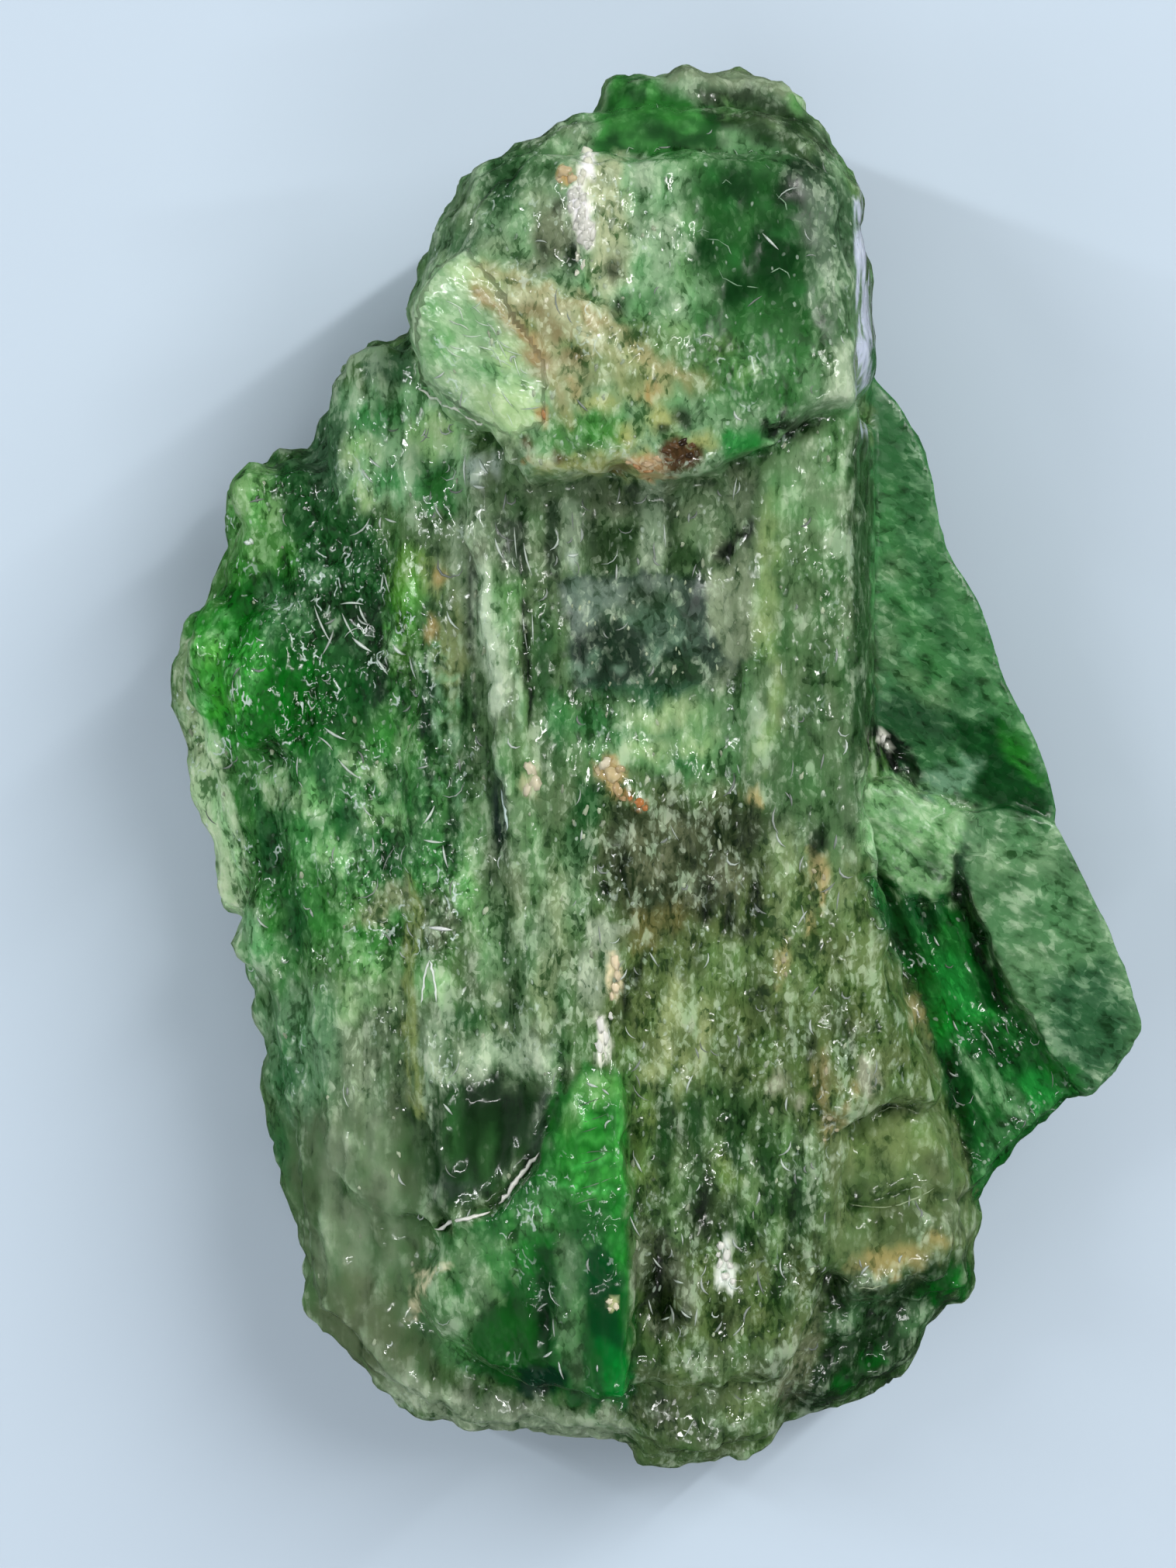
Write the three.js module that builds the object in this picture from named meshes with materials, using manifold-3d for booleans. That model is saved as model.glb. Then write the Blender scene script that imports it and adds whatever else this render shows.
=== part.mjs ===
// Rough crystal of chrome diopside, one natural piece, lying on its broadest
// cleavage face. Millimetres, +Z up. The long axis of the fibres runs along Y.
// The crystal is a bundle of parallel prisms grown together on one foot, with a
// thick cap across the top end, a thin cleavage slab along the right side and a
// wedge standing at the bottom end. Every outline below is drawn in picture
// units seen from above, with v running down, and is turned into millimetres at
// the height of its own rim, so outlines nearer the eye are drawn smaller.
import * as THREE from "three";
import { mergeVertices } from "three/addons/utils/BufferGeometryUtils.js";
import Module from "manifold-3d";

// ---- driving dimensions -------------------------------------------------
const MM_PER_UNIT = 1 / 30; // at REF_Z
const REF_Z = 7; // height of the widest outline
const EYE_Z = 150; // height of the eye over the resting face
const EYE_U = 758;
const EYE_V = 1011;
const TOP_Z = 21.0; // crest of the cap
const FLOOR_Z = 0; // resting face

// ---- helpers ------------------------------------------------------------
// A repeatable number between -1 and 1 for a place and a channel.
function rough(x, y, channel) {
  const s = Math.sin(x * 12.9898 + y * 78.233 + channel * 37.719) * 43758.5453;
  return 2 * (s - Math.floor(s)) - 1;
}

// A slow wander between about -1 and 1, for edges that rise and fall.
function drift(x, y, channel) {
  return (
    0.6 * Math.sin(0.31 * x + 0.17 * y + channel * 1.7) *
      Math.cos(0.26 * y - 0.12 * x + channel * 0.9) +
    0.4 * Math.sin(0.83 * x - 0.61 * y + channel * 2.3)
  );
}

// Picture units at height z to millimetres, origin under the eye.
function place(u, v, z) {
  const k = (MM_PER_UNIT * (EYE_Z - z)) / (EYE_Z - REF_Z);
  return new THREE.Vector2((u - EYE_U) * k, -(v - EYE_V) * k);
}

const wasm = await Module();
wasm.setup();

function solid(geometry) {
  const g = geometry.clone();
  for (const name of Object.keys(g.attributes))
    if (name !== "position") g.deleteAttribute(name);
  const merged = mergeVertices(g, 1e-4);
  return new wasm.Manifold(
    new wasm.Mesh({
      numProp: 3,
      vertProperties: new Float32Array(merged.attributes.position.array),
      triVerts: new Uint32Array(merged.index.array),
    }),
  );
}

// A lump of crystal standing on a lower one. outline: picture units. rim: the
// height at which the outline was read. top(x, y): height of its upper face in
// mm. rings: [share of the height from bottom to top, how far the ring is drawn
// in, in mm]. bite: how rough its edge and face are, in mm.
function lump(outline, { rim, bottom, top, rings, bite = 0.25, channel = 1 }) {
  let flat = outline.map(([u, v]) => place(u, v, rim));
  if (THREE.ShapeUtils.isClockWise(flat)) flat = flat.reverse();
  const shape = new THREE.Shape(flat);
  const centre = new THREE.Vector2();
  flat.forEach((p) => centre.add(p));
  centre.divideScalar(flat.length);
  let rx = 0,
    ry = 0;
  flat.forEach((p) => {
    rx = Math.max(rx, Math.abs(p.x - centre.x));
    ry = Math.max(ry, Math.abs(p.y - centre.y));
  });
  const steps = rings.length - 1;
  const g = new THREE.ExtrudeGeometry(shape, {
    depth: steps,
    steps,
    bevelEnabled: false,
  });
  const p = g.attributes.position;
  for (let i = 0; i < p.count; i++) {
    const x = p.getX(i),
      y = p.getY(i),
      k = Math.round(p.getZ(i));
    const [share, draw] = rings[k];
    const dx = x - centre.x,
      dy = y - centre.y;
    const nick = k === 0 ? 0 : bite * rough(x, y, channel + k);
    const sx = 1 - (draw + nick) / Math.max(rx, 1),
      sy = 1 - (draw + nick) / Math.max(ry, 1);
    const nx = centre.x + dx * sx,
      ny = centre.y + dy * sy;
    const t = top(nx, ny);
    const wave =
      k === 0
        ? 0
        : bite * 0.8 * rough(x, y, channel + 10 + k) +
          (k < steps ? 0.07 * (t - bottom) * drift(x, y, channel + k) : 0);
    p.setXYZ(i, nx, ny, bottom + (t - bottom) * share + wave);
  }
  return solid(g);
}

// A flat face through a point (picture units) at height z, rising by gx and gy
// per mm to the right and up.
function plane(u, v, z, gx = 0, gy = 0) {
  const o = place(u, v, z);
  return (x, y) => z + (x - o.x) * gx + (y - o.y) * gy;
}

// A rounded knob.
function knob(u, v, z, ru, rv, rz, turn = 0, channel = 5) {
  const g = new THREE.IcosahedronGeometry(1, 2);
  const p = g.attributes.position;
  const k = MM_PER_UNIT;
  for (let i = 0; i < p.count; i++) {
    const a = Math.round(p.getX(i) * 50),
      b = Math.round(p.getY(i) * 50),
      c = Math.round(p.getZ(i) * 50);
    const swell = 1 + 0.1 * rough(a + c * 0.37, b - c * 0.61, channel);
    p.setXYZ(
      i,
      p.getX(i) * ru * k * swell,
      p.getY(i) * rv * k * swell,
      p.getZ(i) * rz * swell,
    );
  }
  const o = place(u, v, z);
  g.rotateZ((turn * Math.PI) / 180);
  g.translate(o.x, o.y, z);
  return solid(g);
}

// ---- outlines -----------------------------------------------------------
// Widest outline of the whole crystal, clockwise from the top.
const WHOLE = [
  [799, 95], [819, 96], [837, 104], [859, 94], [877, 89], [904, 90], [920, 95],
  [944, 89], [967, 95], [993, 109], [1016, 112], [1034, 126], [1041, 145],
  [1065, 166], [1083, 190], [1100, 226], [1111, 258], [1114, 297], [1122, 346],
  [1125, 381], [1126, 417], [1128, 471], [1134, 494], [1156, 528], [1177, 567],
  [1192, 602], [1209, 648], [1214, 712], [1236, 733], [1252, 769], [1261, 815],
  [1284, 868], [1319, 924], [1337, 974], [1361, 1030], [1361, 1064],
  [1376, 1094], [1404, 1165], [1439, 1236], [1464, 1285], [1469, 1328],
  [1439, 1377], [1404, 1411], [1376, 1420], [1333, 1455], [1284, 1503],
  [1268, 1517], [1266, 1529], [1254, 1541], [1260, 1560], [1260, 1573],
  [1250, 1595], [1250, 1606], [1254, 1628], [1254, 1660], [1246, 1677],
  [1219, 1682], [1215, 1695], [1201, 1703], [1191, 1719], [1189, 1735],
  [1179, 1754], [1167, 1770], [1155, 1786], [1124, 1798], [1096, 1804],
  [1068, 1810], [1041, 1822], [1025, 1832], [1011, 1834], [1003, 1849],
  [989, 1861], [973, 1871], [946, 1873], [934, 1881], [894, 1885], [859, 1884],
  [827, 1879], [811, 1865], [784, 1853], [741, 1853], [704, 1849], [681, 1839],
  [649, 1840], [598, 1843], [562, 1838], [530, 1822], [502, 1795], [470, 1763],
  [438, 1731], [399, 1699], [384, 1667], [387, 1621], [383, 1570], [369, 1520],
  [351, 1492], [343, 1437], [332, 1354], [318, 1272], [309, 1189], [284, 1170],
  [274, 1130], [276, 1099], [261, 1063], [254, 1027], [241, 966], [236, 936],
  [221, 905], [221, 864], [228, 834], [243, 813], [266, 783], [276, 747],
  [297, 701], [297, 660], [300, 627], [320, 607], [348, 599], [356, 581],
  [389, 581], [401, 576], [407, 548], [424, 512], [435, 492], [435, 474],
  [450, 469], [463, 448], [481, 442], [493, 446], [506, 436], [521, 433],
  [527, 430], [522, 395], [536, 368], [545, 346], [551, 310], [569, 279],
  [578, 252], [587, 234], [605, 216], [632, 205], [659, 194], [681, 176],
  [703, 165], [739, 152], [766, 140], [784, 136], [788, 122], [792, 99],
];

const parts = [];
const put = (outline, options) => parts.push(lump(outline, options));

// Foot: the broad lower part, drawn in where the crystal meets the surface.
// rings: [height, share of the outline across, and along, roughness].
function foot(outline, u, v, rings, channel, lean = () => 0) {
  let at = outline.map(([a, b]) => place(a, b, REF_Z - 2));
  if (THREE.ShapeUtils.isClockWise(at)) at = at.reverse();
  const o = place(u, v, REF_Z - 2);
  const steps = rings.length - 1;
  const g = new THREE.ExtrudeGeometry(new THREE.Shape(at), {
    depth: steps,
    steps,
    bevelEnabled: false,
  });
  const p = g.attributes.position;
  for (let i = 0; i < p.count; i++) {
    const k = Math.round(p.getZ(i));
    const x = p.getX(i),
      y = p.getY(i);
    const [z, sx, sy, bite] = rings[k];
    const n = bite * rough(x, y, channel + k),
      m = bite * rough(x, y, channel + 20 + k);
    const w = 1 + 0.09 * (1 - sx + (k === 0 ? 0.12 : 0.02)) * 3 * drift(x, y, channel + k);
    const lift =
      k === 0 ? 0 : 0.4 * bite * rough(x, y, channel + 40 + k) + 0.13 * z * drift(x, y, channel + 3 * k);
    const nx = o.x + (x - o.x) * sx * w + n,
      ny = o.y + (y - o.y) * sy * w + m;
    p.setXYZ(i, nx, ny, z + lift + (k < steps ? lean(nx, ny) : 0));
  }
  return solid(g);
}

const RIGHT_FROM = WHOLE.findIndex(([u]) => u === 1128);
const RIGHT_TO = WHOLE.findIndex(([u, v]) => u === 1254 && v === 1541);
// Without the slab, and drawn in below the cap, whose own side is the wider.
const capMiddle = [830, 330];
const MASS = [
  ...WHOLE.slice(0, RIGHT_FROM + 1),
  [1120, 560], [1126, 640], [1118, 740], [1128, 840], [1120, 930], [1130, 1010],
  [1136, 1100], [1158, 1190], [1190, 1290], [1216, 1390], [1238, 1470],
  ...WHOLE.slice(RIGHT_TO),
].map(([u, v]) => {
  const share = 0.15 * Math.min(1, Math.max(0, (470 - v) / 120));
  return [u + (capMiddle[0] - u) * share, v + (capMiddle[1] - v) * share];
});
parts.push(
  foot(
    MASS, 760, 1040,
    [
      [FLOOR_Z, 0.72, 0.8, 0],
      [0.8, 0.82, 0.88, 0.3],
      [2.3, 0.94, 0.96, 0.3],
      [3.9, 0.99, 0.99, 0.12],
      [5.2, 1.0, 1.0, 0.05],
      [6.3, 0.975, 0.985, 0.1],
    ],
    70,
  ),
);
// The slab's own under side climbs towards its outer edge.
const SLAB = [
  [1080, 480], ...WHOLE.slice(RIGHT_FROM + 1, RIGHT_TO + 1),
  [1180, 1480], [1100, 1300], [1060, 1000], [1070, 700],
];
const slabEdge = place(1120, 900, REF_Z);
parts.push(
  foot(
    SLAB, 1150, 1020,
    [
      [2.2, 0.93, 0.97, 0.15],
      [3.0, 0.98, 0.99, 0.15],
      [4.6, 1.0, 1.0, 0.03],
      [6.6, 1.0, 1.0, 0.05],
    ],
    130,
    (x) => 0.16 * Math.max(0, x - slabEdge.x),
  ),
);

// Main mass, up to the height where the separate prisms show.
put(
  [
    [640, 440], [760, 420], [1000, 420], [1106, 440], [1112, 700], [1112, 1000],
    [1125, 1100], [1150, 1200], [1190, 1300], [1222, 1400], [1246, 1500],
    [1246, 1640], [1212, 1675], [1165, 1730], [1090, 1780], [1011, 1822],
    [934, 1870], [842, 1872], [741, 1843], [598, 1835], [535, 1815], [445, 1731],
    [405, 1695], [393, 1621], [376, 1520], [352, 1437], [340, 1354], [328, 1272],
    [318, 1181], [288, 1099], [268, 1027], [250, 936], [250, 870], [285, 760],
    [306, 655], [360, 592], [405, 580], [438, 494], [484, 450], [525, 438],
  ],
  {
    rim: 9,
    bottom: 3,
    top: plane(760, 1100, 10.2, 0.06, 0.03),
    rings: [[0, 0.6], [0.55, 0], [0.85, 0.9], [1, 2.6]],
    bite: 0.3,
    channel: 3,
  },
);

// Prisms of the main mass, from the right side to the left.
put(
  [
    [962, 552], [1010, 547], [1060, 530], [1108, 520], [1112, 640], [1113, 800],
    [1112, 1000], [1104, 1120], [1062, 1134], [985, 1108], [962, 1010],
    [955, 900], [948, 800], [952, 640],
  ],
  {
    rim: 16, bottom: 5, top: plane(1040, 800, 17.0, -0.05, 0.01),
    rings: [[0, -0.5], [0.9, 0], [1, 0.35]], bite: 0.12, channel: 11,
  },
);
put(
  [
    [660, 570], [800, 570], [1000, 570], [1004, 900], [990, 1030], [880, 1040],
    [790, 1040], [740, 1000], [690, 980], [668, 860], [660, 760],
  ],
  {
    rim: 15, bottom: 5, top: plane(830, 800, 15.5, 0.03, -0.02),
    rings: [[0, -0.5], [0.92, 0], [1, 0.4]], bite: 0.2, channel: 14,
  },
);
put(
  [
    [598, 570], [640, 560], [694, 585], [692, 690], [700, 800], [724, 950],
    [770, 1010], [800, 1100], [796, 1250], [800, 1390], [740, 1420], [700, 1430],
    [672, 1300], [656, 1150], [648, 1000], [630, 850], [610, 700],
  ],
  {
    rim: 15.5, bottom: 5, top: plane(690, 1000, 16.0, 0.02, 0.02),
    rings: [[0, -0.6], [0.9, 0], [1, 0.6]], bite: 0.25, channel: 17,
  },
);
put(
  [
    [516, 610], [560, 600], [640, 590], [650, 760], [670, 900], [690, 1100],
    [710, 1280], [744, 1440], [680, 1560], [570, 1610], [540, 1450], [530, 1300],
    [516, 1100], [520, 900], [506, 760],
  ],
  {
    rim: 14, bottom: 4.5, top: plane(580, 1000, 14.6, 0.1, 0.02),
    rings: [[0, -0.8], [0.85, 0], [1, 0.8]], bite: 0.35, channel: 21,
  },
);
put(
  [
    [396, 640], [440, 600], [560, 590], [554, 760], [568, 900], [564, 1100],
    [578, 1300], [588, 1450], [596, 1620], [470, 1570], [410, 1480], [388, 1330],
    [372, 1180], [350, 1040], [360, 900], [352, 780],
  ],
  {
    rim: 12, bottom: 4, top: plane(450, 1000, 12.6, 0.16, 0.02),
    rings: [[0, -0.8], [0.8, 0], [1, 1.0]], bite: 0.45, channel: 25,
  },
);
put(
  [
    [304, 650], [350, 604], [430, 600], [440, 800], [430, 950], [440, 1100],
    [440, 1250], [460, 1450], [410, 1510], [362, 1440], [350, 1330], [336, 1230],
    [322, 1150], [290, 1060], [266, 960], [258, 880], [286, 776],
  ],
  {
    rim: 10, bottom: 4, top: plane(330, 1000, 9.6, 0.3, 0.03),
    rings: [[0, -0.2], [0.75, 0], [1, 1.1]], bite: 0.4, channel: 29,
  },
);
// Stepped end of the prisms beside the cap.
put(
  [
    [438, 494], [452, 474], [484, 450], [526, 440], [560, 500], [640, 560],
    [624, 650], [560, 676], [480, 690], [420, 640], [412, 590], [424, 540],
  ],
  {
    rim: 12, bottom: 4, top: plane(520, 570, 13.4, 0.14, -0.04),
    rings: [[0, -0.2], [0.8, 0], [1, 0.9]], bite: 0.45, channel: 33,
  },
);
put(
  [
    [316, 616], [350, 600], [405, 580], [440, 600], [460, 680], [420, 740],
    [340, 740], [308, 690],
  ],
  {
    rim: 10.5, bottom: 4, top: plane(380, 650, 11.2, 0.12, -0.06),
    rings: [[0, -0.2], [0.7, 0], [1, 0.9]], bite: 0.45, channel: 35,
  },
);
// Lower middle, falling towards the bottom end.
put(
  [
    [748, 1004], [830, 1022], [950, 1000], [1000, 1080], [1062, 1090],
    [1108, 1080], [1130, 1180], [1160, 1260], [1192, 1350], [1210, 1430],
    [1150, 1420], [1084, 1450], [1064, 1560], [1060, 1690], [1010, 1780],
    [920, 1800], [800, 1790], [790, 1600], [780, 1470], [766, 1380],
    [764, 1250], [766, 1110],
  ],
  {
    rim: 14, bottom: 5, top: plane(950, 1300, 15.0, -0.03, 0.12),
    rings: [[0, -0.6], [0.88, 0], [1, 0.6]], bite: 0.35, channel: 37,
  },
);
put(
  [
    [812, 1600], [900, 1580], [1040, 1600], [1036, 1740], [1008, 1824],
    [990, 1850], [946, 1866], [894, 1878], [842, 1875], [806, 1850], [800, 1760],
  ],
  {
    rim: 8.5, bottom: 3, top: plane(920, 1720, 11.0, -0.02, 0.3),
    rings: [[0, -0.1], [0.7, 0], [1, 0.9]], bite: 0.35, channel: 41,
  },
);
// Lower left, rounding down to the edge.
put(
  [
    [366, 1420], [420, 1360], [520, 1340], [600, 1500], [590, 1600], [545, 1660],
    [530, 1720], [560, 1790], [640, 1832], [560, 1828], [505, 1788], [445, 1724],
    [404, 1690], [392, 1600], [378, 1510],
  ],
  {
    rim: 9, bottom: 3, top: plane(480, 1560, 10.6, 0.14, 0.14),
    rings: [[0, -0.1], [0.7, 0], [1, 1.1]], bite: 0.35, channel: 45,
  },
);
put(
  [
    [540, 1700], [620, 1690], [800, 1700], [830, 1780], [820, 1850], [745, 1848],
    [700, 1842], [600, 1838], [548, 1822], [520, 1780],
  ],
  {
    rim: 7.5, bottom: 3, top: plane(680, 1790, 8.6, 0.02, 0.2),
    rings: [[0, -0.1], [0.7, 0], [1, 0.8]], bite: 0.3, channel: 47,
  },
);
// Green wedge with a steep right side.
put(
  [
    [757, 1372], [800, 1384], [806, 1440], [812, 1520], [812, 1620], [816, 1720],
    [816, 1800], [770, 1812], [700, 1795], [600, 1770], [548, 1725], [536, 1670],
    [560, 1606], [640, 1560], [698, 1480], [722, 1410],
  ],
  {
    rim: 14, bottom: 5, top: plane(800, 1560, 15.9, 0.40, 0.13),
    rings: [[0, -0.3], [0.9, 0], [1, 0.45]], bite: 0.2, channel: 51,
  },
);
// Lobes and green skirt of the bottom right.
put(
  [
    [1076, 1480], [1104, 1432], [1160, 1412], [1210, 1430], [1240, 1480],
    [1250, 1540], [1200, 1552], [1140, 1545], [1084, 1562],
  ],
  {
    rim: 11, bottom: 4, top: plane(1160, 1480, 12.4, -0.12, 0.1),
    rings: [[0, -0.1], [0.75, 0], [1, 0.8]], bite: 0.2, channel: 55,
  },
);
put(
  [
    [1070, 1570], [1116, 1534], [1180, 1530], [1232, 1556], [1246, 1610],
    [1216, 1650], [1150, 1672], [1082, 1680],
  ],
  {
    rim: 11.5, bottom: 4, top: plane(1150, 1590, 12.7, -0.14, 0.06),
    rings: [[0, -0.1], [0.75, 0], [1, 0.8]], bite: 0.2, channel: 58,
  },
);
put(
  [
    [1050, 1680], [1120, 1650], [1200, 1640], [1248, 1604], [1252, 1655],
    [1217, 1680], [1188, 1735], [1152, 1782], [1096, 1800], [1040, 1818],
    [1020, 1790],
  ],
  {
    rim: 7.5, bottom: 3, top: plane(1130, 1720, 8.4, -0.14, 0.12),
    rings: [[0, -0.1], [0.7, 0], [1, 0.5]], bite: 0.25, channel: 61,
  },
);

// Cap: a broken block across the top end.
put(
  [
    [524, 398], [537, 368], [546, 346], [553, 312], [571, 281], [589, 236],
    [634, 208], [683, 180], [741, 156], [786, 142], [900, 150], [1040, 152],
    [1081, 194], [1097, 228], [1110, 260], [1113, 300], [1121, 348], [1125, 417],
    [1126, 476], [1108, 524], [960, 560], [760, 590], [600, 540], [548, 494],
    [528, 440],
  ],
  {
    rim: 12, bottom: 4, top: plane(820, 340, 16.4, 0.05, -0.06),
    rings: [[0, -0.1], [0.6, 0], [0.86, 0.5], [1, 1.5]], bite: 0.25, channel: 64,
  },
);
put(
  [
    [612, 290], [640, 232], [700, 196], [800, 192], [900, 190], [1020, 194],
    [1072, 226], [1086, 300], [1092, 400], [1102, 520], [1040, 540], [1008, 548],
    [990, 574], [944, 598], [900, 612], [858, 620], [832, 618], [808, 608],
    [760, 612], [684, 614], [662, 592], [656, 570], [626, 548], [600, 470],
    [596, 380],
  ],
  {
    rim: 18.5, bottom: 9, top: plane(840, 400, 19.6, 0.0, -0.1),
    rings: [[0, 0.5], [0.9, 0], [1, 0.5]], bite: 0.25, channel: 67,
  },
);
put(
  [
    [545, 375], [562, 350], [592, 326], [650, 342], [720, 380], [800, 440],
    [840, 520], [800, 590], [700, 604], [662, 580], [626, 548], [596, 533],
    [568, 506], [546, 492], [530, 440],
  ],
  {
    rim: 17.5, bottom: 9, top: plane(680, 450, 19.9, 0.22, 0.14),
    rings: [[0, 0.6], [0.92, 0], [1, 0.35]], bite: 0.2, channel: 71,
  },
);
// Crest of the cap, running down to the right.
put(
  [
    [600, 366], [650, 356], [730, 400], [830, 460], [960, 470], [1000, 500],
    [985, 560], [940, 594], [860, 618], [812, 606], [730, 560], [660, 460],
  ],
  {
    rim: 19.5, bottom: 12, top: plane(800, 490, TOP_Z - 0.5, -0.02, -0.02),
    rings: [[0, -0.2], [0.85, 0], [1, 0.9]], bite: 0.25, channel: 75,
  },
);
// Green rim behind the cap.
put(
  [
    [772, 142], [790, 100], [800, 96], [819, 98], [837, 106], [860, 96],
    [878, 91], [904, 92], [920, 97], [944, 91], [966, 97], [992, 111],
    [1015, 114], [1032, 128], [1040, 147], [1064, 170], [1080, 200], [1000, 220],
    [900, 210], [780, 210],
  ],
  {
    rim: 11, bottom: 3, top: plane(900, 150, 13.2, 0.0, -0.16),
    rings: [[0, -0.1], [0.75, 0], [1, 0.7]], bite: 0.25, channel: 78,
  },
);
parts.push(knob(820, 135, 12.2, 44, 36, 2.2, 0, 81));
parts.push(knob(890, 130, 12.6, 48, 34, 1.8, 15, 82));
parts.push(knob(985, 140, 11.8, 46, 30, 1.9, -20, 83));

// Cleavage slab along the right side: upper leaf, thick lower leaf and the
// green floor between them and the main mass.
put(
  [
    [1090, 500], [1134, 500], [1155, 530], [1176, 569], [1190, 604], [1207, 650],
    [1212, 714], [1234, 736], [1250, 772], [1259, 818], [1282, 870], [1317, 927],
    [1335, 977], [1358, 1033], [1358, 1066], [1290, 1062], [1230, 1074],
    [1170, 1090], [1090, 1100],
  ],
  {
    rim: 8, bottom: 3, top: plane(1150, 800, 8.9, -0.1, 0.0),
    rings: [[0, -0.05], [0.8, 0], [1, 0.25]], bite: 0.1, channel: 84,
  },
);
put(
  [
    [1182, 1088], [1238, 1048], [1300, 1036], [1359, 1062], [1373, 1096],
    [1401, 1167], [1436, 1238], [1461, 1287], [1466, 1328], [1452, 1352],
    [1402, 1340], [1348, 1300], [1304, 1258], [1274, 1204], [1250, 1140],
  ],
  {
    rim: 9, bottom: 3, top: plane(1330, 1180, 10.0, -0.1, 0.0),
    rings: [[0, -0.05], [0.85, 0], [1, 0.3]], bite: 0.1, channel: 87,
  },
);
put(
  [
    [1090, 1060], [1250, 1060], [1300, 1200], [1402, 1320], [1462, 1330],
    [1437, 1376], [1402, 1409], [1374, 1418], [1331, 1453], [1283, 1501],
    [1262, 1526], [1200, 1540], [1090, 1300],
  ],
  {
    rim: 7.5, bottom: 3, top: plane(1260, 1340, 8.0, -0.06, 0.06),
    rings: [[0, -0.05], [0.75, 0], [1, 0.35]], bite: 0.2, channel: 91,
  },
);

// Knobs of the left shoulder.
parts.push(knob(330, 640, 9.6, 34, 40, 2.2, 10, 94));
parts.push(knob(300, 850, 8.2, 62, 76, 2.8, 0, 95));
parts.push(knob(360, 880, 10.6, 64, 96, 2.4, -8, 96));
parts.push(knob(480, 480, 11.6, 40, 34, 2.0, 0, 97));
parts.push(knob(345, 1190, 8.6, 36, 74, 1.8, -6, 98));

// ---- one crystal ----------------------------------------------------------
const whole = parts.reduce((a, b) => a.add(b));
const got = whole.getMesh();
const vertices = new Float32Array(got.numVert * 3);
for (let i = 0; i < got.numVert; i++)
  for (let k = 0; k < 3; k++)
    vertices[3 * i + k] = got.vertProperties[i * got.numProp + k];

// The origin is on the resting face, under the middle of the crystal's box.
const low = [Infinity, Infinity],
  high = [-Infinity, -Infinity];
for (let i = 0; i < vertices.length; i += 3)
  for (let k = 0; k < 2; k++) {
    low[k] = Math.min(low[k], vertices[i + k]);
    high[k] = Math.max(high[k], vertices[i + k]);
  }
const shift = [-(low[0] + high[0]) / 2, -(low[1] + high[1]) / 2];

const geometry = new THREE.BufferGeometry()
  .setAttribute("position", new THREE.BufferAttribute(vertices, 3))
  .setIndex(new THREE.BufferAttribute(new Uint32Array(got.triVerts), 1));
const crystal = new THREE.Mesh(
  geometry,
  new THREE.MeshStandardMaterial({
    color: new THREE.Color(0.16, 0.36, 0.15),
    roughness: 0.22,
    metalness: 0,
  }),
);
crystal.name = "diopside_crystal";
crystal.position.set(shift[0], shift[1], 0);

const group = new THREE.Group();
group.add(crystal);
export default group;
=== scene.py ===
"""Looks of a rough crystal of chrome diopside, lying on a pale floor.

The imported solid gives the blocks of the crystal. Here they are split further
into fibres, bars, knobs and cleavage steps, and get their colours and gloss.
Places are given as seen from above in picture units (30 to the millimetre),
u to the right and v down, and are turned into millimetres at the height of
the surface, as the eye over the crystal sees them.
"""

import math
import time

import bpy
import numpy as np
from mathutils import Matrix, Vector
from mathutils.bvhtree import BVHTree


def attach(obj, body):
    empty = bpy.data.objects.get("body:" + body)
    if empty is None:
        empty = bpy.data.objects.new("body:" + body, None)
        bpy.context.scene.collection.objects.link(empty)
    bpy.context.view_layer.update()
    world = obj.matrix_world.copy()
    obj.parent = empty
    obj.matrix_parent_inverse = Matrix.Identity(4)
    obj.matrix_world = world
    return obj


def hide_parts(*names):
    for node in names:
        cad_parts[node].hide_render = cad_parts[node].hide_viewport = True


T0 = time.time()


def stamp(text):
    print(f"[{time.time() - T0:6.1f}s] {text}")


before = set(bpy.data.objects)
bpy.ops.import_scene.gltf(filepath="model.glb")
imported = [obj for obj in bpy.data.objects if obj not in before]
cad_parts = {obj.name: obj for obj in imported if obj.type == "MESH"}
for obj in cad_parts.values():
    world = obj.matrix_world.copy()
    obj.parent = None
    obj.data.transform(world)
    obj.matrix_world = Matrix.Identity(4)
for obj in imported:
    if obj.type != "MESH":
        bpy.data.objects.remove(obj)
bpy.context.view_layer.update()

# ---- the eye and the picture frame ------------------------------------------
EYE_X, EYE_Y, EYE_Z = -2.8853302, -0.1908827, 150.0  # mm
EYE_U, EYE_V = 758.0, 1011.0
REF_Z = 7.0
PER_UNIT = 1 / 30


def place(u, v, z):
    k = PER_UNIT * (EYE_Z - z) / (EYE_Z - REF_Z)
    return (u - EYE_U) * k + EYE_X, -(v - EYE_V) * k + EYE_Y


def picture(p):
    k = PER_UNIT * (EYE_Z - p[:, 2]) / (EYE_Z - REF_Z)
    return (p[:, 0] - EYE_X) / k + EYE_U, -(p[:, 1] - EYE_Y) / k + EYE_V


# ---- repeatable noise ---------------------------------------------------------
def scramble(ix, iy, iz, seed):
    h = (
        ix.astype(np.uint32) * np.uint32(374761393)
        + iy.astype(np.uint32) * np.uint32(668265263)
        + iz.astype(np.uint32) * np.uint32(2246822519)
        + np.uint32((seed * 3266489917) & 0xFFFFFFFF)
    )
    h = (h ^ (h >> np.uint32(15))) * np.uint32(2246822519)
    h = (h ^ (h >> np.uint32(13))) * np.uint32(3266489917)
    return h ^ (h >> np.uint32(16))


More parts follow.
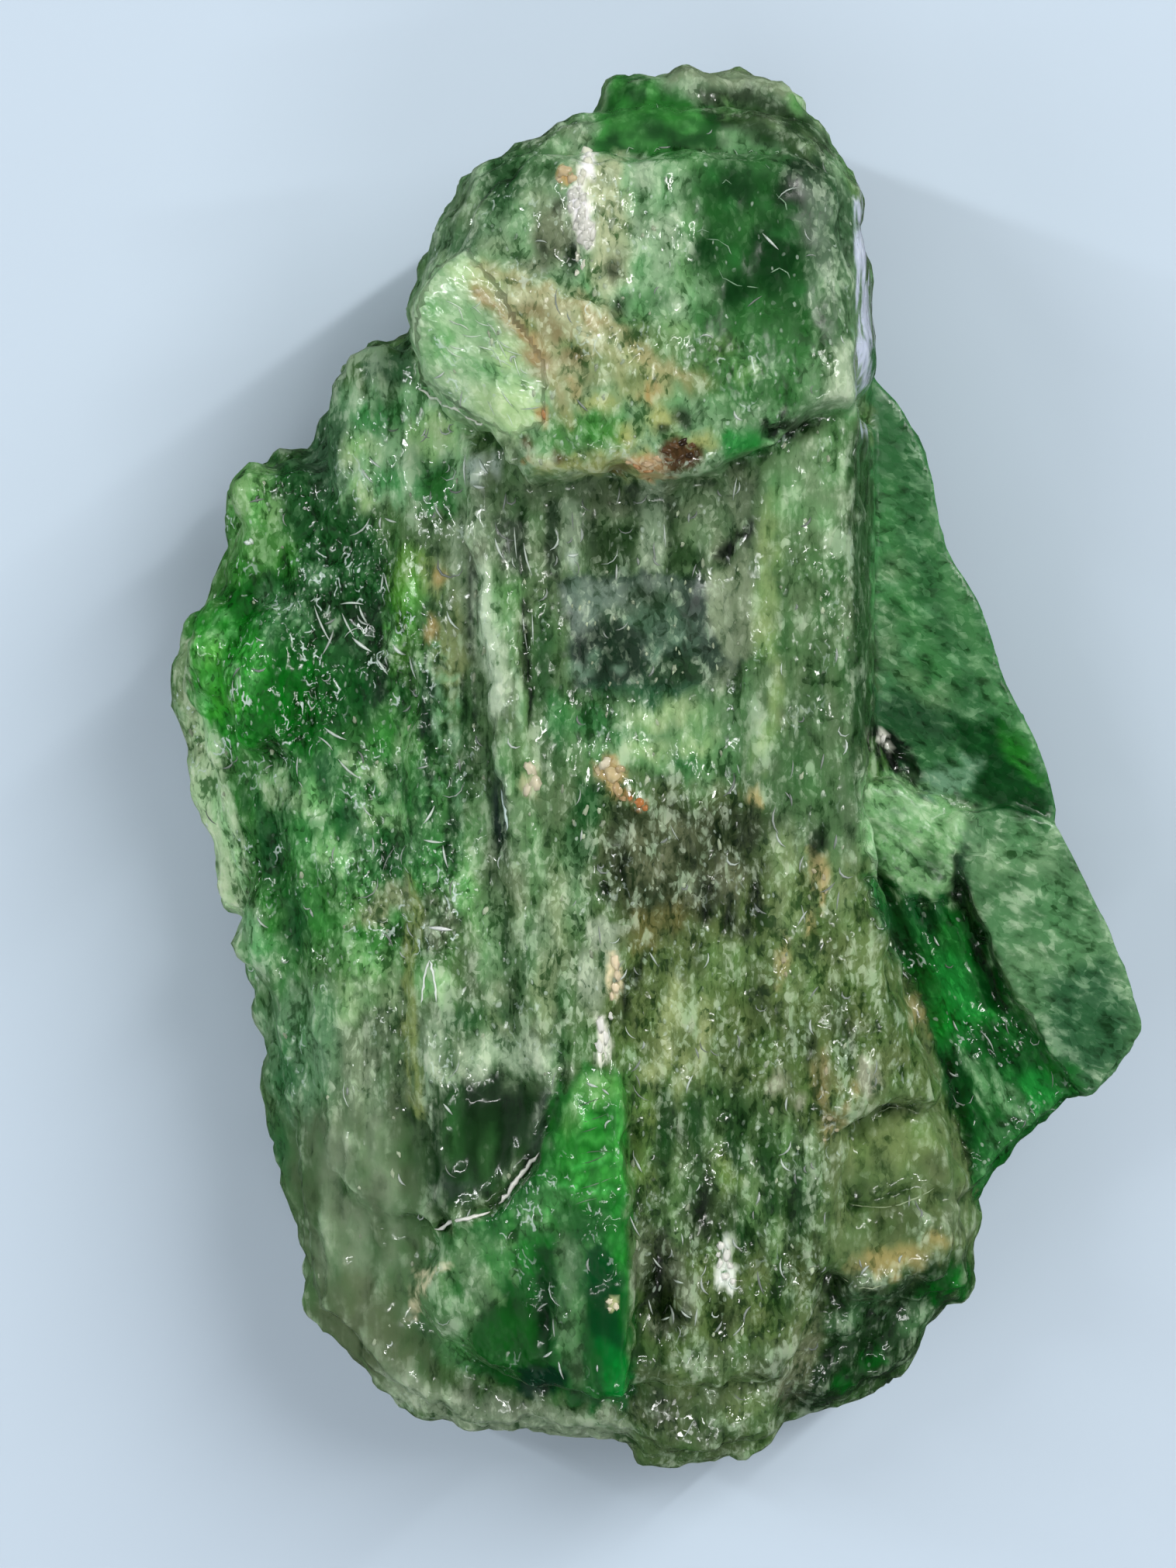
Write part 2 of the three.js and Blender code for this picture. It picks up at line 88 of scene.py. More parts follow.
def wander(p, size, seed=0):
    """Smooth noise, about -1 to 1. size: mm along each axis."""
    q = (p / np.asarray(size, np.float32)).astype(np.float32)
    i = np.floor(q).astype(np.int32)
    f = q - i
    w = f * f * f * (f * (f * 6 - 15) + 10)
    total = np.zeros(len(p), np.float32)
    for dx in (0, 1):
        for dy in (0, 1):
            for dz in (0, 1):
                h = scramble(i[:, 0] + dx, i[:, 1] + dy, i[:, 2] + dz, seed)
                g = (
                    ((h & 1023) / 511.5 - 1) * (f[:, 0] - dx)
                    + (((h >> np.uint32(10)) & 1023) / 511.5 - 1) * (f[:, 1] - dy)
                    + (((h >> np.uint32(20)) & 1023) / 511.5 - 1) * (f[:, 2] - dz)
                )
                k = (
                    (w[:, 0] if dx else 1 - w[:, 0])
                    * (w[:, 1] if dy else 1 - w[:, 1])
                    * (w[:, 2] if dz else 1 - w[:, 2])
                )
                total += (k * g).astype(np.float32)
    return total * 1.5


def grains(p, size, seed=0, jitter=0.9):
    """Cells around scattered points: distances to the nearest and the next,
    the cell's number and the way from its point, in cell sizes."""
    q = (p / np.asarray(size, np.float32)).astype(np.float32)
    i = np.floor(q).astype(np.int32)
    n = len(p)
    d1 = np.full(n, 9.0, np.float32)
    d2 = np.full(n, 9.0, np.float32)
    key = np.zeros(n, np.uint32)
    way = np.zeros((n, 3), np.float32)
    for dx in (-1, 0, 1):
        for dy in (-1, 0, 1):
            for dz in (-1, 0, 1):
                cx, cy, cz = i[:, 0] + dx, i[:, 1] + dy, i[:, 2] + dz
                h = scramble(cx, cy, cz, seed)
                ox = q[:, 0] - (cx + 0.5 + jitter * ((h & 1023) / 1023.0 - 0.5))
                oy = q[:, 1] - (
                    cy + 0.5 + jitter * (((h >> np.uint32(10)) & 1023) / 1023.0 - 0.5)
                )
                oz = q[:, 2] - (
                    cz + 0.5 + jitter * (((h >> np.uint32(20)) & 1023) / 1023.0 - 0.5)
                )
                r = ox * ox + oy * oy + oz * oz
                near = r < d1
                d2 = np.where(near, d1, np.minimum(d2, r)).astype(np.float32)
                d1 = np.where(near, r, d1).astype(np.float32)
                key = np.where(near, h, key)
                way[near, 0] = ox[near]
                way[near, 1] = oy[near]
                way[near, 2] = oz[near]
    return np.sqrt(d1), np.sqrt(d2), key, way


def unit(key, turn=0):
    """A repeatable number from 0 to 1 for each cell."""
    h = (key ^ np.uint32(turn * 2654435761 & 0xFFFFFFFF)) * np.uint32(2246822519)
    h = (h ^ (h >> np.uint32(15))) * np.uint32(3266489917)
    return ((h >> np.uint32(8)) & 65535) / 65535.0


def smooth(x, a, b):
    t = np.clip((x - a) / (b - a), 0, 1)
    return t * t * (3 - 2 * t)


# ---- places on the crystal ------------------------------------------------------
def within(u, v, outline):
    """Distance in units to the outline, positive inside it."""
    pts = np.asarray(outline, np.float32)
    best = np.full(len(u), 1e9, np.float32)
    inside = np.zeros(len(u), bool)
    for (ax, ay), (bx, by) in zip(pts, np.roll(pts, -1, 0)):
        ex, ey = bx - ax, by - ay
        t = np.clip(((u - ax) * ex + (v - ay) * ey) / (ex * ex + ey * ey + 1e-9), 0, 1)
        d = (u - ax - t * ex) ** 2 + (v - ay - t * ey) ** 2
        best = np.minimum(best, d)
        crosses = (ay > v) != (by > v)
        if abs(by - ay) > 1e-9:
            inside ^= crosses & (u < (bx - ax) * (v - ay) / (by - ay) + ax)
    best = np.sqrt(best)
    return np.where(inside, best, -best)


def oval(u, v, cu, cv, ru, rv, turn=0.0):
    a = math.radians(turn)
    du, dv = u - cu, v - cv
    x = (du * math.cos(a) + dv * math.sin(a)) / ru
    y = (-du * math.sin(a) + dv * math.cos(a)) / rv
    return (1 - np.sqrt(x * x + y * y)) * min(ru, rv)


def along(u, v, path):
    """Distance in units to a path."""
    best = np.full(len(u), 1e9, np.float32)
    for (ax, ay), (bx, by) in zip(path[:-1], path[1:]):
        ex, ey = bx - ax, by - ay
        t = np.clip(((u - ax) * ex + (v - ay) * ey) / (ex * ex + ey * ey + 1e-9), 0, 1)
        best = np.minimum(best, (u - ax - t * ex) ** 2 + (v - ay - t * ey) ** 2)
    return np.sqrt(best)


def mask(u, v, spec, soft):
    """spec: an outline, or an oval (cu, cv, ru, rv, turn). Worked out only near it."""
    out = np.zeros(len(u), np.float32)
    if isinstance(spec, tuple):
        r = max(spec[2], spec[3]) + soft
        near = (abs(u - spec[0]) < r) & (abs(v - spec[1]) < r)
        if near.any():
            out[near] = smooth(oval(u[near], v[near], *spec), -soft, soft)
        return out
    pts = np.asarray(spec, np.float32)
    lo, hi = pts.min(0) - soft, pts.max(0) + soft
    near = (u > lo[0]) & (u < hi[0]) & (v > lo[1]) & (v < hi[1])
    if near.any():
        out[near] = smooth(within(u[near], v[near], spec), -soft, soft)
    return out


CAP = [
    (522, 395), (545, 346), (569, 279), (605, 216), (681, 176), (766, 140),
    (792, 90), (1000, 90), (1083, 190), (1114, 297), (1134, 494), (1109, 528),
    (1040, 548), (985, 582), (962, 596), (836, 622), (790, 614), (684, 614),
    (662, 568), (600, 535), (540, 498),
]
CAP_RIM = [
    (772, 142), (792, 90), (1000, 90), (1046, 150), (1083, 190), (1010, 190),
    (930, 188), (860, 190), (770, 192),
]
MINT_FACET = [
    (532, 420), (545, 375), (565, 340), (600, 326), (625, 350), (655, 400),
    (690, 450), (706, 500), (700, 540), (664, 562), (600, 530), (545, 490),
]
RIGHT_COLUMN = [
    (965, 560), (1040, 545), (1110, 525), (1114, 800), (1113, 1000), (1108, 1120),
    (1062, 1134), (1000, 1100), (965, 1010), (952, 900), (966, 820), (965, 740),
]
DARK_FACET = [
    (720, 748), (760, 740), (810, 736), (880, 742), (930, 752), (948, 790),
    (966, 850), (940, 880), (880, 893), (800, 888), (742, 892), (736, 830),
]
LEFT_LUMPS = [
    (221, 864), (228, 834), (266, 783), (300, 700), (297, 640), (320, 607),
    (370, 600), (430, 660), (500, 700), (530, 800), (560, 900), (600, 1000),
    (610, 1120), (580, 1240), (480, 1260), (380, 1250), (318, 1272),
    (300, 1180), (270, 1100), (236, 936),
]
SLAB_UPPER = [
    (1122, 440), (1186, 508), (1222, 592), (1244, 702), (1282, 759), (1314, 858),
    (1367, 964), (1391, 1030), (1380, 1060), (1290, 1050), (1230, 1046),
    (1180, 1010), (1130, 940), (1120, 800),
]
SLAB_LOWER = [
    (1240, 1052), (1300, 1042), (1384, 1054), (1434, 1155), (1469, 1226),
    (1500, 1332), (1420, 1440), (1374, 1384), (1320, 1300), (1280, 1230),
    (1252, 1160), (1236, 1100),
]
SLAB_LUMP = [
    (1112, 1010), (1150, 1000), (1190, 1020), (1250, 1046), (1268, 1070),
    (1262, 1098), (1236, 1100), (1226, 1160), (1170, 1160), (1130, 1130),
    (1112, 1080),
]
GREEN_FLOOR = [
    (1110, 1130), (1180, 1150), (1240, 1170), (1290, 1260), (1340, 1330),
    (1390, 1392), (1410, 1440), (1350, 1476), (1300, 1522), (1262, 1560),
    (1236, 1450), (1190, 1300), (1140, 1190),
]
WEDGE = [
    (757, 1372), (800, 1384), (812, 1520), (816, 1720), (814, 1800), (770, 1812),
    (700, 1795), (600, 1770), (548, 1725), (530, 1680), (560, 1600), (640, 1560),
    (698, 1480), (722, 1410),
]
LOBES = [
    (1070, 1480), (1104, 1424), (1160, 1400), (1215, 1430), (1245, 1480),
    (1260, 1560), (1250, 1630), (1200, 1640), (1150, 1640), (1080, 1660),
    (1068, 1570),
]
SKIRT = [
    (1078, 1650), (1150, 1650), (1250, 1610), (1254, 1660), (1217, 1690),
    (1189, 1740), (1155, 1786), (1096, 1804), (1025, 1832), (1011, 1834),
    (1030, 1790), (1060, 1740),
]
LOWER_LEFT = [
    (318, 1272), (420, 1260), (560, 1280), (700, 1300), (740, 1400), (690, 1500),
    (560, 1600), (530, 1720), (560, 1790), (800, 1815), (784, 1860), (598, 1850),
    (500, 1800), (400, 1710), (384, 1621), (343, 1437),
]
LOWER_MIDDLE = [
    (748, 1020), (960, 1010), (1062, 1100), (1112, 1090), (1180, 1260),
    (1240, 1440), (1110, 1420), (1072, 1480), (1070, 1660), (1060, 1740),
    (1011, 1834), (973, 1875), (894, 1890), (811, 1870), (816, 1700),
    (812, 1500), (800, 1384), (757, 1372), (764, 1250),
]
MAIN_TOP = [
    (516, 600), (660, 560), (970, 600), (952, 900), (965, 1010), (800, 1030),
    (764, 1250), (757, 1372), (700, 1440), (640, 1300), (600, 1120), (560, 900),
    (530, 760),
]

CAP_DEEP = [
    (892, 206), (940, 196), (1000, 194), (1060, 214), (1086, 262), (1080, 330),
    (1056, 372), (1050, 440), (1000, 462), (966, 430), (930, 440), (912, 404),
    (926, 372), (884, 352), (900, 300), (880, 262),
]
SIDE_GLEAM = [(1090, 226), (1150, 226), (1160, 610), (1100, 620), (1096, 420)]

SHARP_EDGES = [
    ([(540, 498), (600, 535), (662, 568), (684, 614), (790, 614), (836, 622), (962, 596), (985, 582), (1040, 548), (1109, 528)], 14),
    ([(1112, 560), (1114, 800), (1113, 1000)], 7),
    ([(1116, 1076), (1129, 1146), (1148, 1210), (1186, 1283), (1209, 1356), (1231, 1426), (1250, 1520)], 12),
    ([(556, 1587), (580, 1577), (635, 1563), (646, 1553), (663, 1525), (691, 1493), (715, 1439), (722, 1400)], 12),
    ([(808, 1384), (812, 1450), (815, 1520), (814, 1600), (818, 1700), (818, 1800)], 10),
    ([(615, 1773), (670, 1804), (773, 1821), (818, 1808)], 10),
    ([(1196, 1040), (1262, 1048), (1300, 1044), (1340, 1052), (1361, 1064)], 8),
    ([(1243, 1107), (1250, 1200), (1275, 1264), (1314, 1307), (1357, 1357), (1371, 1371)], 8),
    ([(1092, 1558), (1140, 1542), (1190, 1532), (1236, 1556)], 8),
]

# ---- the crystal's blocks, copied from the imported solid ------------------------
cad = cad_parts["diopside_crystal"]
co = np.zeros(len(cad.data.vertices) * 3)
cad.data.vertices.foreach_get("co", co)
co = co.reshape(-1, 3) * 1000  # mm
tris = np.array([tuple(p.vertices) for p in cad.data.polygons])
tree = BVHTree.FromPolygons([tuple(c) for c in co], [tuple(int(i) for i in t) for t in tris])

points, faces = [co], [tris.tolist()]
count = len(co)


def add(verts, polys):
    global count
    verts = np.asarray(verts, float)
    points.append(verts)
    faces.append([[i + count for i in f] for f in polys])
    count += len(verts)


def height(x, y):
    hit = tree.ray_cast(Vector((x, y, 60.0)), Vector((0, 0, -1)))
    return None if hit[0] is None else hit[0].z


def plate(outline, z, depth, gx=0.0, gy=0.0, draw=0.12):
    """A flat-topped piece grown into the crystal. outline: picture units at its
    rim. gx, gy: rise per mm to the right and up the picture. draw: how far the
    rim is drawn in, in mm."""
    ring = np.array([place(u, v, z) for u, v in outline])
    area = sum(
        a[0] * b[1] - a[1] * b[0] for a, b in zip(ring, np.roll(ring, -1, 0))
    )
    if area < 0:
        ring = ring[::-1]
    mid = ring.mean(0)
    n = len(ring)
    away = ring - mid
    far = np.linalg.norm(away, axis=1, keepdims=True)
    top = ring - away / np.maximum(far, 0.01) * min(draw, 0.4 * far.min())
    rise = lambda q: z + (q[:, 0] - mid[0]) * gx + (q[:, 1] - mid[1]) * gy
    low = np.c_[ring, np.full(n, z - depth)]
    mid_ring = np.c_[ring, rise(ring) - draw * 0.8]
    high = np.c_[top, rise(top)]
    verts = np.vstack([low, mid_ring, high])
    polys = [list(range(n))[::-1], [2 * n + i for i in range(n)]]
    for r in (0, 1):
        for i in range(n):
            j = (i + 1) % n
            polys.append([r * n + i, r * n + j, (r + 1) * n + j, (r + 1) * n + i])
    add(verts, polys)


def sliver(x, y, z, length, width, thick, heading, pitch, roll, rng):
    """A fibre bundle or cleavage sliver: a long prism with slanted ends.
    heading: degrees from +Y, clockwise seen from above."""
    half = length / 2
    ring = [(-0.5, -0.3), (-0.42, 0.42), (0.0, 0.5), (0.44, 0.4), (0.5, -0.3), (0.0, -0.5)]
    s0, s1 = rng.uniform(-0.6, 0.6, 2) * width
    body = []
    for end, slant, shrink in ((-half, s0, 0.82), (-0.8 * half, 0.5 * s0, 1), (0.8 * half, 0.5 * s1, 1), (half, s1, 0.82)):
        for a, b in ring:
            body.append((a * width * shrink, end + slant * a, b * thick * shrink))
    body = np.array(body)
    cr, sr = math.cos(math.radians(roll)), math.sin(math.radians(roll))
    body = np.c_[
        body[:, 0] * cr + body[:, 2] * sr, body[:, 1], -body[:, 0] * sr + body[:, 2] * cr
    ]
    cp, sp = math.cos(pitch), math.sin(pitch)
    body = np.c_[body[:, 0], body[:, 1] * cp - body[:, 2] * sp, body[:, 1] * sp + body[:, 2] * cp]
    ch, sh = math.cos(math.radians(heading)), math.sin(math.radians(heading))
    body = np.c_[
        body[:, 0] * ch + body[:, 1] * sh, -body[:, 0] * sh + body[:, 1] * ch, body[:, 2]
    ]
    n = 6
    polys = [list(range(n)), [3 * n + i for i in range(n)][::-1]]
    for r in range(3):
        for i in range(n):
            j = (i + 1) % n
            polys.append([r * n + i, (r + 1) * n + i, (r + 1) * n + j, r * n + j])
    add(body + [x, y, z], polys)


BALL_V, BALL_F = None, None


def ball(x, y, z, rx, ry, rz, turn, rng):
    """A rounded knob with a few facets."""
    global BALL_V, BALL_F
    if BALL_V is None:
        me = bpy.data.meshes.new("knob")
        import bmesh

        bm = bmesh.new()
        bmesh.ops.create_icosphere(bm, subdivisions=2, radius=1)
        bm.to_mesh(me)
        bm.free()
        BALL_V = np.array([v.co[:] for v in me.vertices])
        BALL_F = [list(p.vertices) for p in me.polygons]
        bpy.data.meshes.remove(me)
    v = BALL_V * (1 + rng.uniform(-0.1, 0.1, (len(BALL_V), 1)))
    v = v * [rx, ry, rz]
    c, s = math.cos(math.radians(turn)), math.sin(math.radians(turn))
    v = np.c_[v[:, 0] * c - v[:, 1] * s, v[:, 0] * s + v[:, 1] * c, v[:, 2]]
    add(v + [x, y, z], BALL_F)


def scatter(outline, number, seed):
    """Repeatable places inside an outline."""
    rng = np.random.default_rng(seed)
    pts = np.asarray(outline, float)
    lo, hi = pts.min(0), pts.max(0)
    out = []
    while len(out) < number:
        u, v = rng.uniform(lo, hi)
        if within(np.array([u]), np.array([v]), outline)[0] > 4:
            out.append((u, v))
    return out, rng


def fibres(outline, number, seed, width=(0.4, 1.1), length=(2.0, 7.0), proud=(0.02, 0.3), heading=0.0, spread=3.0, roll=16.0, avoid=None):
    places, rng = scatter(outline, number, seed)
    for u, v in places:
        if avoid and within(np.array([u]), np.array([v]), avoid)[0] > -14:
            continue
        w = rng.uniform(*width)
        ln = rng.uniform(*length)
        x, y = place(u, v, 13)
        z = height(x, y)
        if z is None:
            continue
        hd = heading(u, v) if callable(heading) else heading
        hd += rng.normal(0, spread)
        dx, dy = math.sin(math.radians(hd)), math.cos(math.radians(hd))
        for tries in range(3):
            za = height(x + dx * ln * 0.5, y + dy * ln * 0.5)
            zb = height(x - dx * ln * 0.5, y - dy * ln * 0.5)
            zc = height(x + dy * w * 0.8, y - dx * w * 0.8)
            zd = height(x - dy * w * 0.8, y + dx * w * 0.8)
            ends = (za, zb, zc, zd)
            if None not in ends and max(abs(e - z) for e in ends) < 0.8:
                break
            ln *= 0.55
        else:
            continue
        pitch = math.atan2(za - zb, ln) + rng.normal(0, 0.02)
        thick = w * rng.uniform(0.8, 1.3)
        sliver(
            x, y, (z + za + zb) / 3 - thick * 0.5 + rng.uniform(*proud), ln, w, thick,
            hd, pitch, rng.normal(0, roll), rng,
        )


def knobs(outline, number, seed, size=(0.4, 1.1), tall=0.7, stretch=1.3, sink=0.35, heading=0.0, avoid=None):
    places, rng = scatter(outline, number, seed)
    for u, v in places:
        if avoid and within(np.array([u]), np.array([v]), avoid)[0] > -10:
            continue
        r = rng.uniform(*size)
        x, y = place(u, v, 10)
        z = height(x, y)
        if z is None:
            continue
        k = rng.uniform(1, stretch)
        ends = [height(x + a * r * k * 1.2, y + b * r * k * 1.2) for a, b in ((1, 0), (-1, 0), (0, 1), (0, -1))]
        if None in ends or max(abs(e - z) for e in ends) > 1.0:
            continue
        ball(x, y, z - r * sink, r, r * k, r * tall, -heading + rng.normal(0, 15), rng)


# Bars below the cap: the broken ends of the prisms.
for u0, u1, v0, v1, z, gx in (
    (598, 636, 584, 650, 16.6, 0.10), (602, 633, 652, 704, 16.35, -0.12),
    (640, 662, 640, 742, 15.75, 0.10), (683, 706, 646, 744, 15.8, -0.15),
    (724, 750, 628, 728, 16.0, 0.10), (753, 776, 640, 700, 15.75, -0.1),
    (779, 815, 634, 668, 15.9, 0.05), (819, 856, 610, 748, 16.15, -0.06),
    (857, 875, 612, 706, 15.95, 0.15), (879, 925, 640, 694, 15.9, 0.05),
    (934, 972, 596, 684, 16.4, -0.1), (700, 722, 640, 690, 15.85, 0.1),
):
    plate([(u0, v0), (u1, v0 + 2), (u1 + 1, v1 - 3), (u0 + 2, v1)], z, 2.0, gx, 0.015, 0.1)
# Pale ridge left of the slit, and the narrow strip beside it.
plate([(604, 690), (640, 640), (652, 760), (662, 900), (676, 1010), (650, 1100), (634, 960), (618, 820)], 16.75, 2.0, 0.12, 0.0, 0.2)
plate([(652, 700), (668, 690), (672, 800), (684, 930), (700, 1010), (690, 1180), (670, 1080), (664, 900)], 16.35, 2.0, -0.1, 0.0, 0.12)
# Tan-grey facet at the right of the dark one, and the stepped pale area below.
plate([(908, 742), (962, 730), (968, 860), (930, 846), (900, 800)], 16.2, 2.0, -0.12, 0.06, 0.1)
plate([(760, 905), (860, 890), (950, 880), (962, 960), (900, 1010), (800, 985), (744, 950)], 15.75, 2.0, -0.02, 0.06, 0.2)
# Knot of tan at the middle.
plate([(770, 985), (800, 975), (812, 1005), (800, 1035), (775, 1020)], 16.1, 1.5, 0.1, 0.1, 0.15)
# Steps on the right column.
plate([(985, 560), (1100, 530), (1104, 650), (1010, 660), (984, 640)], 17.15, 2.0, -0.05, 0.02, 0.1)
plate([(1040, 664), (1090, 656), (1096, 900), (1080, 1080), (1050, 1060), (1046, 850)], 17.1, 2.0, -0.1, 0.0, 0.12)
plate([(975, 690), (1030, 668), (1036, 900), (1026, 1060), (990, 1050), (974, 900)], 17.2, 2.0, 0.06, 0.0, 0.15)
# The column's foot runs down onto the lower middle.
plate([(968, 1060), (1112, 1040), (1140, 1160), (1160, 1330), (1000, 1330), (960, 1180)], 16.1, 3.0, 0.0, 0.16, 0.3)
# The leaves of the slab reach their edges.
plate([(1110, 470), (1163, 522), (1200, 598), (1222, 708), (1260, 765), (1292, 864), (1346, 971), (1368, 1048), (1300, 1030), (1240, 1000), (1190, 960), (1110, 930)], 8.95, 4.0, 0.0, 0.0, 0.05)
plate([(1236, 1056), (1300, 1036), (1364, 1060), (1412, 1160), (1447, 1232), (1476, 1328), (1406, 1417), (1366, 1372), (1316, 1300), (1278, 1230), (1250, 1160)], 9.75, 4.0, -0.02, 0.0, 0.06)
plate([(1240, 1180), (1290, 1290), (1350, 1370), (1400, 1412), (1376, 1420), (1333, 1455), (1290, 1495), (1254, 1530), (1238, 1450), (1190, 1300), (1150, 1200), (1200, 1170)], 8.8, 3.0, 0.03, 0.0, 0.15)
for reach, z in ((1113, 14.6), (1117, 12.8), (1122, 11.2), (1129, 9.9)):
    plate([(1096, 540), (reach, 548), (reach, 900), (reach - 6, 1000), (1096, 1060)], z, 3.0, 0.0, 0.0, 0.06)
# Small blocks on the slab: the pale piece in the dark gap and the mottled lump.
plate([(1188, 992), (1240, 985), (1256, 1020), (1236, 1044), (1196, 1034)], 9.02, 2.0, -0.02, 0.02, 0.08)
plate([(1114, 1014), (1150, 1004), (1196, 1030), (1228, 1072), (1232, 1130), (1214, 1164), (1160, 1150), (1124, 1110)], 10.1, 3.0, -0.1, 0.12, 0.2)
plate([(1176, 1024), (1230, 1040), (1268, 1050), (1274, 1096), (1228, 1100), (1180, 1090)], 9.95, 3.0, -0.03, 0.0, 0.1)
# The slab floor's long steps.
for pts, z in (
    ([(1150, 1180), (1196, 1200), (1262, 1330), (1238, 1400), (1196, 1290)], 9.1),
    ([(1210, 1200), (1248, 1190), (1300, 1300), (1276, 1350), (1240, 1280)], 9.0),
    ([(1216, 1350), (1240, 1330), (1290, 1440), (1276, 1490), (1240, 1440)], 8.75),
    ([(1262, 1350), (1300, 1330), (1360, 1420), (1330, 1446), (1290, 1410)], 8.7),
    ([(1310, 1320), (1350, 1330), (1402, 1390), (1376, 1414), (1340, 1380)], 8.5),
):
    plate(pts, z, 2.0, -0.06, 0.05, 0.2)
# The pale rock and the tan patch above the lobes.
plate([(1092, 1372), (1124, 1352), (1152, 1380), (1146, 1424), (1106, 1432)], 15.2, 3.0, -0.25, 0.15, 0.25)
plate([(1060, 1350), (1086, 1346), (1092, 1440), (1066, 1444)], 15.6, 3.0, 0.05, 0.1, 0.15)
for reach, z in ((1070, 14.6), (1076, 14.0), (1083, 13.5), (1092, 13.1)):
    plate([(1040, 1440), (reach, 1440), (reach, 1640), (1040, 1640)], z, 2.5, 0.0, 0.0, 0.06)
plate([(1080, 1642), (1160, 1630), (1240, 1618), (1244, 1660), (1170, 1676), (1080, 1680)], 10.6, 2.5, 0.0, 0.1, 0.2)
# Cream chip at the head of the cap, white vein.
plate([(752, 198), (768, 196), (770, 226), (750, 232)], 20.0, 1.5, 0.0, 0.0, 0.1)
plate([(734, 240), (754, 232), (766, 262), (766, 318), (750, 314), (740, 280)], 20.02, 1.5, 0.1, 0.0, 0.12)
plate([(720, 212), (742, 208), (740, 232), (722, 236)], 19.85, 1.5, -0.1, 0.0, 0.1)
# Ripples across the wedge.
for v, w in ((1420, 60), (1452, 76), (1488, 90), (1524, 100), (1560, 80)):
    plate([(806 - w, v + 8), (806, v - 6), (808, v + 12), (806 - w, v + 22)], 16.4 - (v - 1400) * 0.0028, 1.5, 0.32, 0.02, 0.12)


def mesh_from(verts, polys, name):
    me = bpy.data.meshes.new(name)
    me.from_pydata([tuple(v) for v in verts], [], polys)
    me.update()
    return me


def applied(obj):
    """The object's mesh with its modifiers applied."""
    deps = bpy.context.evaluated_depsgraph_get()
    me = bpy.data.meshes.new_from_object(obj.evaluated_get(deps))
    obj.modifiers.clear()
    old = obj.data
    obj.data = me
    bpy.data.meshes.remove(old)
    return me


def remesh(obj, size):
    m = obj.modifiers.new("skin", "REMESH")
    m.mode = "VOXEL"
    m.voxel_size = size
    m.adaptivity = 0
    applied(obj)


def coords(me):
    a = np.zeros(len(me.vertices) * 3, np.float32)
    me.vertices.foreach_get("co", a)
    return a.reshape(-1, 3)


def normals(me):
    a = np.zeros(len(me.vertices) * 3, np.float32)
    me.vertex_normals.foreach_get("vector", a)
    return a.reshape(-1, 3)


def edges(me):
    a = np.zeros(len(me.edges) * 2, np.int32)
    me.edges.foreach_get("vertices", a)
    return a.reshape(-1, 2)


def relax(field, ed, rounds):
    """Average over the neighbours, a number of times."""
    n = len(field)
    field = field.astype(np.float64)
    flat = field.reshape(n, -1)
    num = np.maximum(np.bincount(ed.ravel(), minlength=n), 1)
    a, b = np.r_[ed[:, 0], ed[:, 1]], np.r_[ed[:, 1], ed[:, 0]]
    for _ in range(rounds):
        flat = np.stack(
            [
                0.5 * flat[:, k] + 0.5 * np.bincount(a, weights=flat[b, k], minlength=n) / num
                for k in range(flat.shape[1])
            ],
            1,
        )
    return flat.reshape(field.shape).astype(np.float32)


def turned(p, degrees):
    """Coordinates turned so that their second axis lies along the fibres."""
    a = math.radians(degrees)
    return np.c_[
        p[:, 0] * math.cos(a) - p[:, 1] * math.sin(a),
        p[:, 0] * math.sin(a) + p[:, 1] * math.cos(a),
        p[:, 2],
    ].astype(np.float32)


def regions(p):
    """Shares of each kind of surface at each point."""
    u, v = picture(p)
    q = p.astype(np.float32)
    u = u + 9 * wander(q, (1.2, 1.2, 1.2), 91)
    v = v + 9 * wander(q, (1.2, 1.2, 1.2), 92)
    r = {
        "cap": mask(u, v, CAP, 6),
        "rim": mask(u, v, CAP_RIM, 6),
        "mint": mask(u, v, MINT_FACET, 4),
        "column": mask(u, v, RIGHT_COLUMN, 10),
        "dark": mask(u, v, DARK_FACET, 8),
        "lumps": mask(u, v, LEFT_LUMPS, 20),
        "leaf": np.maximum(mask(u, v, SLAB_UPPER, 5), mask(u, v, SLAB_LOWER, 5)),
        "lump": mask(u, v, SLAB_LUMP, 6),
        "floor": mask(u, v, GREEN_FLOOR, 6),
        "wedge": mask(u, v, WEDGE, 4),
        "lobes": mask(u, v, LOBES, 8),
        "skirt": mask(u, v, SKIRT, 8),
        "deep": mask(u, v, CAP_DEEP, 26),
        "gleam": mask(u, v, SIDE_GLEAM, 8),
    }
    return u, v, r


def grain_frame(p, r):
    """Coordinates along the fibres of each region."""
    g = turned(p, 0)
    for name, angle in (("floor", -27), ("mint", -52), ("leaf", -62), ("lump", -50)):
        k = r[name] > 0.5
        g[k] = turned(p[k], angle)
    return g


